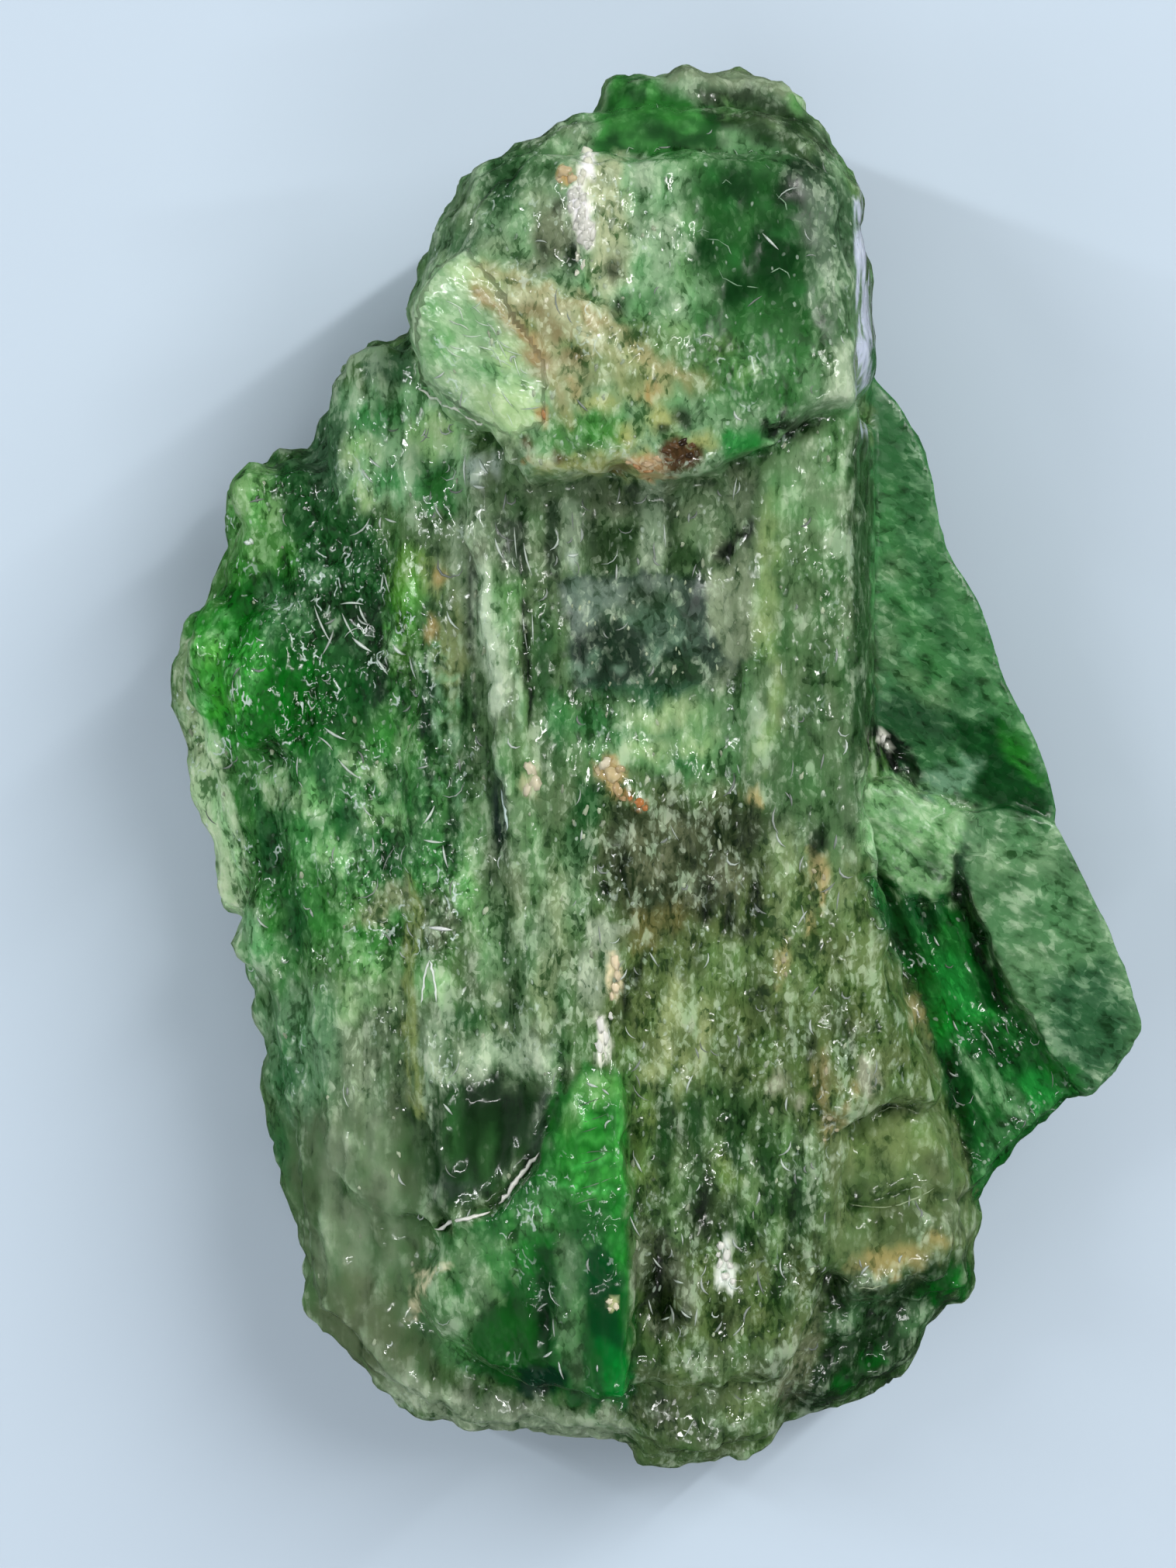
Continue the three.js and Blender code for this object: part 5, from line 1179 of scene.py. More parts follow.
paint((62, 104, 66), 0.65, 9, (1340, 1180, 14, 12, 0), (1300, 1130, 12, 10, 0), (1384, 1170, 10, 14, 0), (1320, 1240, 14, 10, 0), (1290, 1080, 12, 9, 0), (1376, 1120, 10, 9, 0), (1270, 1160, 9, 12, 0), (1350, 1230, 12, 9, 0))
paint((22, 62, 36), 0.9, 5, [(1226, 1102), (1246, 1098), (1252, 1150), (1246, 1176), (1232, 1170)])
paint((150, 180, 146), 0.7, 4, (1262, 1188, 5, 9, -20), (1276, 1228, 6, 8, -20), (1290, 1262, 8, 7, -20), (1302, 1288, 9, 7, -30), (1328, 1316, 9, 6, -40), (1352, 1346, 8, 6, -40))
paint((22, 62, 36), 0.8, 4, (1268, 1206, 5, 10, -20), (1284, 1246, 5, 9, -20), (1312, 1308, 10, 5, 40), (1340, 1334, 10, 5, 40))
paint((22, 100, 40), 0.95, 8, GREEN_FLOOR)
paint((26, 84, 44), 0.85, 14, [(1112, 1140), (1170, 1160), (1226, 1160), (1200, 1220), (1150, 1240)])
paint((32, 134, 56), 0.85, 14, [(1200, 1250), (1236, 1230), (1262, 1300), (1240, 1350), (1206, 1330)], (1340, 1400, 24, 26, -30), (1262, 1310, 14, 16, 0))
paint((8, 66, 24), 0.9, 9, [(1212, 1350), (1236, 1350), (1264, 1450), (1250, 1490), (1230, 1430)], [(1252, 1168), (1272, 1200), (1292, 1300), (1270, 1290), (1250, 1220)], (1310, 1360, 10, 26, -30), (1280, 1340, 9, 26, -20))
paint((118, 162, 118), 0.8, 6, (1262, 1400, 7, 34, -20), (1292, 1410, 7, 34, -24), (1244, 1370, 5, 24, -20), (1310, 1430, 6, 24, -30))
paint((72, 126, 78), 0.7, 10, (1290, 1460, 20, 20, -30), (1350, 1440, 20, 10, 40), (1270, 1510, 10, 12, 0))

# The column's wall over the slab.
paint((46, 80, 44), 0.9, 4, [(1098, 560), (1126, 560), (1124, 930), (1100, 1000)])

# The underside and the undercut foot, which the picture doesn't reach.
patch = wander(p, (3.2, 4.6, 2.4), 74) + 0.6 * wander(p, (1.2, 1.6, 1.0), 75)
plain = lin((88, 114, 80)) * (1 - smooth(patch, 0.0, 0.8))[:, None] + lin((34, 92, 44)) * smooth(patch, 0.0, 0.8)[:, None]
plain = plain * (1 - smooth(-patch, 0.2, 0.9))[:, None] + lin((124, 144, 104)) * smooth(-patch, 0.2, 0.9)[:, None]
hidden = (0.9 * smooth(-relax(n[:, 2], ed, 2), 0.05, 0.4))[:, None]
tint[:] = tint * (1 - hidden) + plain * hidden

# More depth between the dark and the pale parts.
steep = 1 - smooth(relax(n[:, 2], ed, 2), 0.1, 0.6)
tint = 1.48 * tint**1.22
grey = tint.mean(1)[:, None]
tint = np.maximum(grey + 0.98 * (tint - grey), 0.001)
# Patches of clearer green and of greyer stone.
hue = (0.5 + 0.5 * np.clip(r["lumps"] + r["floor"], 0, 1)) * (0.9 * wander(g, (1.3, 2.0, 1.6), 64) + 0.6 * wander(g, (0.55, 0.8, 0.7), 65))
clear = smooth(tint[:, 1] / np.maximum(tint[:, 0], 1e-3), 1.15, 1.8) * (1 - 0.7 * np.clip(r["mint"] + r["leaf"] + r["lump"], 0, 1))
tint *= 1 + (clear * np.clip(hue, -0.25, 0.7))[:, None] * np.array([-0.5, 0.08, -0.4])
blotch = 0.8 * wander(g, (1.7, 2.3, 2.2), 61) + 0.7 * wander(g, (0.8, 1.0, 1.0), 62) + 0.5 * wander(g, (0.42, 0.52, 0.5), 63)
light = tint.mean(1)
deep_clear = smooth(1 - tint[:, 0] / np.maximum(tint[:, 1], 1e-3), 0.65, 0.95) * (1 - r["leaf"])
steady = (1 - 0.6 * deep_clear) * (0.35 + 0.65 * smooth(light, 0.006, 0.05)) * (1 - 0.35 * r["deep"]) * (1 - 0.35 * r["mint"]) * (1 - 0.8 * r["gleam"])
# steep walls painted a little less red and blue, to offset the bluish sheen they reflect
tint *= 1 - steep[:, None] * (1 - 0.8 * r["gleam"])[:, None] * np.array([0.05, 0.0, 0.05])
stamp("colours laid")

# Height above the softened surface, for painted shade: hollows are painted darker, and edges are painted paler as a
# highlight.
away = relax(p, ed, 16) - p
hollow_shade = np.einsum("ij,ij->i", away, relax(n, ed, 3))
hollow_shade = np.clip(relax(hollow_shade, ed, 1) / 0.2, -1, 1)

# x: fibre marks, y: cloudy mottling, z: wet ripples
kinds = np.zeros((len(p), 3), np.float32)
kinds[:, 0] = np.clip(0.75 - 0.75 * r["leaf"] - 0.65 * r["dark"] - 0.6 * r["mint"] - 0.6 * r["lobes"] - 0.5 * r["lumps"] - 0.75 * r["cap"] - 0.5 * r["wedge"] - 0.15 * r["column"] - 0.3 * r["lump"] + 0.45 * r["leaf"] - 0.2 * under_cap, 0, 1)
kinds[:, 1] = np.clip(0.55 + 0.2 * r["leaf"] + 0.45 * r["dark"] + 0.3 * r["lumps"] + 0.3 * r["wedge"] + 0.3 * r["lobes"] + 0.1 * r["cap"] + 0.2 * r["mint"] + 0.3 * r["rim"] + 0.3 * r["lump"], 0, 1) * steady
patchy = smooth(wander(p, (2.2, 3.0, 2.2), 35), -0.3, 0.45)
kinds[:, 2] = np.clip(0.4 - 0.4 * r["leaf"] - 0.35 * r["dark"] + 0.5 * r["lumps"] + 0.15 * r["wedge"] + 0.12 * smooth(650 - u0, 0, 60) + 0.1 * r["cap"] + 0.25 * r["lobes"] + 0.2 * r["floor"], 0, 1) * (0.2 + 0.8 * patchy)
kinds[:, 0] *= 1 - 0.5 * steep
kinds[:, 1] = np.clip(kinds[:, 1] + 0.25 * steep, 0, 1.2)
bars = mask(u0, v0, [(600, 600), (975, 600), (970, 738), (720, 742), (606, 742)], 8)
kinds[:, 0] *= 1 - 0.3 * bars
kinds[:, 1] *= 1 - 0.15 * bars
kinds[:, 2] *= (1 - 0.7 * steep) * (1 - 0.7 * bars) * (1 - 0.9 * r["deep"])
calm = 0.68 * mask(u0, v0, [(350, 1440), (540, 1430), (556, 1560), (540, 1660), (556, 1790), (440, 1790), (330, 1560)], 26) * (0.3 + 0.7 * smooth(relax(n[:, 2], ed, 2), 0.3, 0.7))
calm += 0.8 * vein + 0.4 * mask(u0, v0, (785, 1745, 26, 56, 0), 8) + 0.55 * mask(u0, v0, [(556, 1400), (716, 1400), (690, 1490), (560, 1570)], 12) + 0.25 * r["lobes"] + 0.4 * r["rim"]
teal = mask(u0, v0, [(750, 1600), (818, 1600), (820, 1806), (700, 1800), (640, 1790), (640, 1660), (700, 1650)], 14)
kinds *= (1 - np.clip(calm + 0.2 * teal, 0, 1))[:, None]
# x: fine grains, and painted sparkles that stand in for glints
fine_k = 0.35 + 0.5 * r["lumps"] - 0.35 * r["leaf"] - 0.2 * r["column"] - 0.2 * r["lobes"] - 0.4 * r["wedge"] + 0.15 * r["mint"] + 0.1 * r["dark"]
fine_k += 0.45 * mask(u0, v0, [(600, 600), (975, 600), (970, 738), (606, 742)], 12)
fine_k += 0.4 * mask(u0, v0, [(720, 1010), (1000, 1010), (1120, 1200), (1180, 1420), (840, 1420), (720, 1300)], 30)
fine_k += 0.35 * mask(u0, v0, [(590, 1080), (770, 1080), (760, 1380), (600, 1380)], 20)
fine_k += 0.35 * mask(u0, v0, [(820, 1420), (1070, 1440), (1060, 1720), (820, 1720)], 20)
fine_k += 0.25 * r["floor"] + 0.35 * mask(u0, v0, [(420, 770), (500, 780), (490, 860), (410, 870)], 16)
fine_k += 0.3 * r["cap"] * (1 - 0.6 * r["rim"]) - 0.05 * r["deep"] - 0.2 * r["mint"]
fine_k = np.clip(fine_k, 0, 1.1) * (1 - 1.6 * np.clip(calm, 0, 0.6)) * (1 - 0.5 * steep)
flat_lying = np.clip(1.0 * r["leaf"] + 0.6 * r["dark"] + 0.15 * r["mint"], 0, 1)
dark_gap = mask(u0, v0, [(1118, 924), (1150, 936), (1200, 960), (1210, 1000), (1270, 1030), (1268, 1058), (1180, 1040), (1130, 1010)], 8)
dull = np.clip(0.45 * r["leaf"] + 0.6 * r["dark"] + 0.15 * r["mint"] - 0.4 * dark_gap + 0.7 * r["lump"] + 0.25 * r["deep"] + 1.1 * steep * (1 - r["gleam"]) + 0.9 * mask(u0, v0, [(1026, 214), (1100, 230), (1112, 440), (1060, 440)], 12) + 0.7 * mask(u0, v0, [(890, 400), (1050, 410), (1040, 540), (890, 540)], 16), 0, 1.8)
feather = wander(g, (0.28, 0.9, 0.9), 66) + 0.6 * wander(g, (0.2, 0.5, 0.5), 67)
# shade: painted shade in the hollows and painted highlight on the edges, plus mottled tone and feathered marks
shade = -0.3 * r["mint"] - 0.7 * r["leaf"] * feather + 0.9 * hollow_shade * (1 - 0.8 * r["leaf"]) * (1 - 0.5 * steep) - 1.25 * steady * (1 - 0.4 * bars) * blotch * np.clip(0.8 - 0.2 * r["leaf"] + 0.3 * r["wedge"] + 0.2 * r["lobes"] - 0.2 * r["dark"] + 0.1 * r["lumps"] - 0.25 * r["lobes"], 0, 1.3) * (1 - 0.6 * np.clip(calm, 0, 1))
# how milky its pale parts are: clear emerald stays green
ratio = tint[:, 0] / np.maximum(tint[:, 1], 1e-3)
milk = 0.55 * smooth(ratio, 0.08, 0.45) + 0.04 * smooth(ratio, 0.01, 0.08)

# ---- chips of other colours, pale strokes, and thin pale lines that are painted highlights ---
me.update()
top_tree = BVHTree.FromPolygons([tuple(c) for c in p.tolist()], [tuple(q_.vertices) for q_ in me.polygons])
base_tris = np.zeros(len(me.polygons) * 3, np.int32)
me.polygons.foreach_get("vertices", base_tris)
more_v, more_f, more_c, more_n = [], [], [], len(p)
rng = np.random.default_rng(77)


def surface(u_, v_, guess=15.0):
    for _ in range(3):
        x, y = place(u_, v_, guess)
        hit = top_tree.ray_cast(Vector((x, y, 60.0)), Vector((0, 0, -1)))
        if hit[0] is None:
            return None
        guess = hit[0].z
    return x, y, guess


def chip(u_, v_, ru, rv, colour, turn=0.0, lift=0.35):
    """A small grain, ru by rv picture units, half sunk in the surface."""
    global more_n
    at = surface(u_, v_)
    if at is None:
        return
    verts = BALL_V * (1 + rng.uniform(-0.36, 0.30, (len(BALL_V), 1)))
    rx, ry = ru / 30, rv / 30
    verts = verts * [rx, ry, min(rx, ry) * 0.5]
    c, s_ = math.cos(math.radians(turn)), math.sin(math.radians(turn))
    verts = np.c_[verts[:, 0] * c - verts[:, 1] * s_, verts[:, 0] * s_ + verts[:, 1] * c, verts[:, 2]]
    more_v.append(verts + [at[0], at[1], at[2] + (lift - 0.4) * min(rx, ry) * 0.5])
    more_f.append(np.array(BALL_F) + more_n)
    more_c.append(np.tile(lin(colour), (len(verts), 1)))
    more_n += len(verts)


def painted_highlight(path, radius, colour, lift=0.0):
    """A painted highlight: a thin pale tube laid along an edge."""
    global more_n
    pts = []
    for (au, av), (bu, bv) in zip(path[:-1], path[1:]):
        steps = max(2, int(math.hypot(bu - au, bv - av) / 5))
        for k in range(steps):
            pts.append((au + (bu - au) * k / steps, av + (bv - av) * k / steps))
    pts.append(path[-1])
    line = [surface(*q_) for q_ in pts]
    line = np.array([q_ for q_ in line if q_ is not None])
    if len(line) < 3:
        return
    line[:, 2] = np.convolve(np.pad(line[:, 2], 2, "edge"), np.ones(5) / 5, "valid") + lift
    line[:, :2] += rng.normal(0, radius * 0.35, (len(line), 2))
    tang = np.gradient(line, axis=0)
    tang /= np.linalg.norm(tang, axis=1, keepdims=True)
    side_v = np.cross(tang, [0, 0, 1.0])
    side_v /= np.linalg.norm(side_v, axis=1, keepdims=True)
    up_v = np.cross(side_v, tang)
    k = np.linspace(0, 1, len(line))
    wide = radius * np.clip(np.minimum(k, 1 - k) * 8, 0.15, 1) * rng.uniform(0.6, 1.25, len(line))
    ring = 6
    verts = []
    for i in range(len(line)):
        for j in range(ring):
            a_ = 2 * math.pi * j / ring
            verts.append(line[i] + wide[i] * (math.cos(a_) * side_v[i] + math.sin(a_) * up_v[i]))
    polys = []
    for i in range(len(line) - 1):
        for j in range(ring):
            q0, q1 = i * ring + j, i * ring + (j + 1) % ring
            polys += [(q0, q1, q1 + ring), (q0, q1 + ring, q0 + ring)]
    last = (len(line) - 1) * ring
    for j in range(1, ring - 1):
        polys += [(0, j + 1, j), (last, last + j, last + j + 1)]
    more_v.append(np.array(verts))
    more_f.append(np.array(polys)[:, ::-1] + more_n)
    more_c.append(np.tile(lin(colour), (len(verts), 1)))
    more_n += len(verts)


# White and cream vein at the head of the cap.
for k in range(26):
    far = k / 25
    wide = 5.5 if 0.1 < far < 0.75 else 3.0
    bright = rng.uniform(0.86, 1.02)
    chip(745 + 13 * far + rng.normal(0, 0.45 * wide), 243 + 74 * far + rng.normal(0, 2), rng.uniform(2.0, 4.2), rng.uniform(3.0, 7.0), tuple(c * bright for c in WHITE), rng.uniform(-30, 30), 0.05)
for a_ in ((759, 205, 4, 6), (748, 236, 3, 4)):
    chip(*a_, WHITE, rng.uniform(-12, 12), 0.05)
for u_, v_ in (
    (740, 250), (751, 256), (738, 266), (748, 277), (744, 292), (757, 290), (752, 306), (762, 300),
):
    pale = rng.uniform(0.88, 1.0)
    chip(u_ + rng.uniform(-1, 1), v_ + rng.uniform(-2, 2), rng.uniform(5, 8), rng.uniform(8, 12), (232 * pale, 234 * pale, 220 * pale), rng.uniform(-16, 16), rng.uniform(-0.25, -0.1))
for a_ in ((756, 204, 6, 8), (758, 213, 6, 8), (752, 224, 5, 7), (748, 234, 5, 8), (746, 330, 4, 8), (752, 342, 3, 7), (744, 354, 3, 6)):
    chip(*a_, (214, 216, 194), rng.uniform(-12, 12), 0.0)
for a_ in ((728, 222, 9, 8), (738, 230, 6, 7), (722, 232, 5, 4)):
    chip(*a_, (190, 172, 132), rng.uniform(-30, 30), 0.0)
# Rust and tan about the lip.
for a_ in ((701, 534, 3, 7), (822, 601, 6, 4), (836, 607, 6, 3)):
    chip(*a_, (170, 126, 80), rng.uniform(-30, 30), -0.1)
for a_ in ((858, 580, 7, 5), (868, 574, 7, 4), (880, 570, 8, 5), (892, 574, 7, 4), (888, 586, 6, 5), (876, 590, 8, 4), (862, 592, 6, 3), (898, 584, 4, 5)):
    brown = rng.uniform(0.5, 1.4)
    chip(*a_, (76 * brown, 56 * brown, 34 * brown), rng.uniform(-40, 40), -0.1)
for a_ in ((846, 590, 7, 4), (836, 598, 8, 4), (812, 596, 5, 4)):
    chip(*a_, (186, 160, 122), rng.uniform(-30, 30), -0.1)
# Tan knot at the middle.
chip(782, 984, 11, 7, (214, 206, 176), 20, 0.0)
chip(772, 994, 5, 6, (196, 180, 140), 0, 0.0)
chip(790, 1001, 12, 11, (196, 178, 134), -10, 0.0)
chip(800, 992, 6, 5, (180, 160, 118), 30, 0.0)
chip(797, 1019, 8, 10, (180, 156, 112), 10, 0.0)
chip(804, 1030, 5, 5, (160, 134, 92), 10, 0.0)
for a_ in ((824, 1036, 7, 6), (832, 1042, 4, 4), (812, 1030, 4, 3)):
    chip(*a_, (168, 110, 60), rng.uniform(-30, 30))
# Cream and white veins and grains down the middle.
for a_ in ((683, 992, 7, 10), (689, 1010, 7, 10), (680, 1018, 5, 8)):
    chip(*a_, (206, 200, 168), rng.uniform(-30, 30), 0.0)
for a_ in ((793, 1240, 5, 10), (796, 1256, 4, 9), (793, 1272, 5, 9), (789, 1284, 3, 6)):
    chip(*a_, (226, 210, 172), rng.uniform(-10, 10))
for a_ in ((774, 1322, 5, 11), (779, 1336, 5, 10), (772, 1350, 5, 9), (778, 1360, 4, 6), (786, 1310, 4, 5)):
    chip(*a_, WHITE, rng.uniform(-14, 14))
for a_ in ((1138, 952, 4, 6), (1143, 962, 4, 5)):
    chip(*a_, WHITE, rng.uniform(-30, 30))
for a_ in ((930, 1606, 5, 6), (936, 1618, 5, 8), (928, 1630, 4, 7), (940, 1632, 4, 5), (934, 1646, 6, 5), (944, 1652, 4, 4), (926, 1618, 3, 4)):
    chip(*a_, WHITE, rng.uniform(-40, 40))
for a_ in ((786, 1678, 5, 4), (794, 1684, 4, 5), (786, 1688, 3, 3)):
    chip(*a_, (222, 216, 180), rng.uniform(-30, 30))
for a_ in ((1062, 1130, 3, 6), (1066, 1148, 2, 5), (1050, 1122, 3, 4), (1010, 1236, 3, 6), (1013, 1254, 2, 5), (1070, 1440, 4, 5), (1078, 1456, 3, 4), (1062, 1470, 3, 3), (1066, 1380, 3, 6)):
    chip(*a_, (172, 166, 130), rng.uniform(-20, 20), -0.1)
# Pale grains strewn over the fibres.
for outline, number, seed, size in (
    (LOWER_MIDDLE, 40, 401, (1.5, 3.4)), (MAIN_TOP, 40, 402, (1.5, 3.4)), ([(560, 300), (700, 220), (880, 220), (890, 400), (880, 560), (720, 590), (560, 480)], 26, 403, (1.5, 3.2)),
    (DARK_FACET, 22, 407, (1.2, 2.4)), (LOWER_LEFT, 16, 404, (1.5, 3.0)), (LEFT_LUMPS, 20, 405, (1.5, 3.4)), (RIGHT_COLUMN, 10, 406, (1.5, 3.0)),
):
    spots, rs = scatter(outline, number, seed)
    for u_, v_ in spots:
        w_ = rs.uniform(*size)
        pale = rs.uniform(0.75, 1.05)
        chip(u_, v_, w_, w_ * rs.uniform(1.0, 2.6), (176 * pale, 194 * pale, 158 * pale), rs.uniform(-25, 25), 0.0)
# Painted highlights: the bright line along the crack beside the wedge, and the pale line under the mint facet.
painted_highlight([(560, 1585), (580, 1577), (606, 1571), (632, 1563)], 0.085, WHITE, 0.1)
painted_highlight([(644, 1553), (663, 1525), (678, 1506), (695, 1486)], 0.10, WHITE, 0.1)
painted_highlight([(538, 500), (566, 518), (600, 537), (630, 556)], 0.07, (206, 214, 196), 0.02)
# painted highlights: short bluish-white lines, and two lines meeting in an inverted V
painted_highlight([(646, 1016), (652, 1050), (654, 1072)], 0.05, (190, 214, 206), 0.03)
painted_highlight([(553, 1238), (547, 1262), (543, 1294)], 0.05, (226, 236, 226), 0.04)
painted_highlight([(554, 1238), (560, 1264), (563, 1292)], 0.045, (226, 236, 226), 0.04)

# painted highlights: thin curled arcs over the cap's deep green
for path in (
    [(911, 308), (925, 309), (938, 318), (944, 330)], [(925, 345), (932, 358), (950, 368), (978, 371)],
    [(992, 352), (1004, 346), (1015, 351), (1019, 361)], [(896, 300), (905, 296), (914, 299)],
    [(929, 238), (936, 232), (943, 238)], [(986, 214), (998, 222), (1012, 224)], [(846, 150), (850, 142), (846, 134)],
    [(1000, 250), (1012, 262), (1016, 276)],
):
    painted_highlight(path, 0.024, (120, 158, 122), 0.0)
# painted highlights: a broken row of small glints along the cap's top edge
for u_ in (752, 790, 806, 842, 884, 902, 946, 964, 998):
    a_, b_, c_ = rng.uniform(-6, 6, 3)
    painted_highlight([(u_, 197 + a_), (u_ + 5, 195 + b_), (u_ + 10 + c_, 197 + b_)], 0.022, (140, 172, 140), 0.0)



def glint(u_, v_, length, turn, bend, radius, bright, hue=(206, 222, 208)):
    """A short curled bright line, turn degrees from the fibres: a painted highlight, also used for pale strokes."""
    global more_n
    pts, a_ = [], math.radians(turn)
    x_, y_ = u_, v_
    for k in range(5):
        at = surface(x_, y_)
        if at is None:
            return
        pts.append(at)
        x_ += math.sin(a_) * length / 4
        y_ += math.cos(a_) * length / 4
        a_ += bend / 4
    line = np.array(pts)
    if np.ptp(line[:, 2]) > 0.8:
        return
    line[:, 2] += 0.2 * radius
    tang = np.gradient(line, axis=0)
    tang /= np.maximum(np.linalg.norm(tang, axis=1, keepdims=True), 1e-6)
    side_v = np.cross(tang, [0, 0, 1.0])
    side_v /= np.maximum(np.linalg.norm(side_v, axis=1, keepdims=True), 1e-6)
    up_v = np.cross(side_v, tang)
    wide = radius * np.array([0.15, 0.8, 1.0, 0.7, 0.12])
    verts = np.array([line[i] + wide[i] * (math.cos(q_) * side_v[i] + math.sin(q_) * up_v[i]) for i in range(5) for q_ in (0, math.pi / 2, math.pi, 3 * math.pi / 2)])
    polys = []
    for i in range(4):
        for j in range(4):
            q0, q1 = i * 4 + j, i * 4 + (j + 1) % 4
            polys += [(q0, q1 + 4, q1), (q0, q0 + 4, q1 + 4)]
    polys += [(0, 1, 2), (0, 2, 3), (16, 18, 17), (16, 19, 18)]
    more_v.append(verts)
    more_f.append(np.array(polys) + more_n)
    more_c.append(np.tile(lin(tuple(c * bright for c in hue)), (len(verts), 1)))
    more_n += len(verts)


# painted highlights: short curled pale lines strewn where the surface glints
for outline, number, seed, lean in (
    (LEFT_LUMPS, 40, 501, 40), ([(405, 765), (500, 775), (490, 865), (405, 870)], 4, 502, 60), ([(606, 612), (960, 612), (955, 738), (610, 738)], 22, 503, 14),
    (MAIN_TOP, 26, 504, 20), (RIGHT_COLUMN, 16, 505, 18), (LOWER_MIDDLE, 60, 506, 22), (LOWER_LEFT, 16, 507, 18), (CAP, 26, 508, 60), (WEDGE, 7, 509, 30),
    (GREEN_FLOOR, 14, 510, 40), (LOBES, 8, 511, 60), ([(450, 500), (600, 510), (590, 640), (400, 700)], 12, 512, 40), ([(830, 1600), (1040, 1600), (1040, 1720), (830, 1720)], 14, 513, 25),
):
    spots, rs = scatter(outline, number, seed)
    for u_, v_ in spots:
        glint(u_, v_, rs.uniform(9, 26) * (1 if rs.uniform() < 0.8 else 1.6), rs.normal(0, lean), rs.normal(0, 1.5), rs.uniform(0.022, 0.062), rs.uniform(0.55, 1.0))
# painted highlights: long curved lines along the lobes' edges
painted_highlight([(1094, 1552), (1112, 1556), (1136, 1558), (1160, 1554), (1184, 1544), (1206, 1532)], 0.03, (150, 170, 128), 0.0)
painted_highlight([(1086, 1648), (1104, 1660), (1124, 1662), (1140, 1656)], 0.028, (160, 178, 140), 0.0)
painted_highlight([(1130, 1436), (1146, 1428), (1168, 1428), (1188, 1438)], 0.024, (140, 164, 118), 0.0)
# painted highlights: the larger glints, one by one
for u_, v_, length, turn, bend, radius, bright in (
    (405, 781, 54, 18, 0.3, 0.045, 1.0), (439, 779, 30, 100, -0.5, 0.05, 1.05), (441, 791, 34, 23, 0.2, 0.045, 1.0), (454, 822, 31, 47, 0.3, 0.075, 1.1),
    (463, 781, 25, 16, 0.4, 0.055, 1.0), (494, 739, 26, -7, 0.0, 0.04, 1.0), (495, 739, 26, 15, 0.0, 0.04, 1.0), (507, 832, 21, 35, 0.8, 0.085, 1.1),
    (528, 846, 31, 11, 0.2, 0.055, 1.0), (485, 849, 26, 35, 0.0, 0.06, 1.05), (418, 938, 33, 50, 0.5, 0.06, 0.95), (410, 950, 26, 60, -0.6, 0.04, 0.9),
    (436, 979, 39, 38, 0.5, 0.05, 0.95), (546, 1062, 27, 140, 0.4, 0.06, 1.05), (546, 1083, 25, 76, 0.3, 0.055, 1.0), (571, 1090, 30, 6, 0.3, 0.05, 1.0),
    (364, 1110, 53, 44, 0.4, 0.035, 0.9), (364, 1000, 61, 38, 0.4, 0.035, 0.85), (289, 938, 37, 66, -0.5, 0.05, 0.95), (553, 1196, 30, 84, 0.0, 0.09, 1.15),
    (576, 788, 30, 15, 0.9, 0.05, 1.05), (314, 699, 11, 82, 0.0, 0.12, 1.1), (322, 694, 9, 30, 0.0, 0.09, 1.1), (390, 552, 8, 60, 0.0, 0.07, 0.9),
    (600, 586, 40, -6, 0.3, 0.06, 1.0), (618, 592, 22, 20, 0.5, 0.08, 1.05), (610, 626, 16, 70, 0.6, 0.07, 1.0), (638, 694, 30, 14, 0.4, 0.05, 1.0),
    (675, 700, 44, 8, 0.3, 0.04, 1.0), (673, 790, 50, 6, 0.1, 0.035, 1.0), (686, 792, 40, 2, 0.0, 0.03, 0.95), (732, 716, 14, 80, 0.8, 0.07, 1.05),
    (744, 622, 18, 30, 0.5, 0.06, 1.0), (950, 616, 30, -14, 0.2, 0.04, 0.95), (856, 676, 30, 4, 0.0, 0.035, 0.95), (716, 682, 12, 20, 0.0, 0.05, 0.9),
    (466, 604, 24, 30, 0.4, 0.05, 1.0), (476, 590, 20, 40, 0.4, 0.05, 1.0), (496, 668, 16, 60, 0.5, 0.05, 1.0), (560, 650, 22, 20, 0.4, 0.045, 0.95),
    (756, 1396, 16, 60, 0.4, 0.06, 1.0), (776, 1404, 12, 50, 0.0, 0.05, 0.9), (818, 1492, 22, 20, 0.3, 0.06, 1.0), (812, 1568, 30, 18, 0.4, 0.05, 0.95),
    (842, 1622, 18, 30, 0.5, 0.045, 1.0), (868, 1650, 14, 60, 0.5, 0.05, 1.05), (836, 1676, 20, 10, 0.3, 0.04, 0.95), (878, 1690, 16, 40, 0.6, 0.05, 1.0), (852, 1702, 12, 100, 0.4, 0.05, 1.0),
    (713, 1700, 24, 4, 0.0, 0.045, 0.9), (700, 1750, 14, 110, 0.6, 0.06, 1.0), (720, 1756, 24, 10, 0.3, 0.05, 0.95), (770, 1760, 9, 0, 0.0, 0.05, 0.9),
):
    glint(u_, v_, length, turn, bend, radius, bright)
# pale strokes across the mint facet
spots, rs = scatter([(560, 372), (620, 360), (676, 450), (690, 520), (650, 540), (570, 490)], 22, 520)
for u_, v_ in spots:
    glint(u_, v_, rs.uniform(12, 30), rs.normal(42, 22), rs.normal(0, 0.5), rs.uniform(0.02, 0.04), rs.uniform(0.85, 1.05), (206, 228, 200))
# ripples at the wedge's head
for v_ in (1426, 1448, 1459, 1487, 1503, 1531, 1556):
    glint(742 + rng.uniform(0, 10), v_ + rng.uniform(-4, 4), rng.uniform(14, 44), 98 + rng.uniform(-14, 14), rng.uniform(-0.6, 0.6), rng.uniform(0.018, 0.032), rng.uniform(0.5, 0.8), (150, 206, 150))

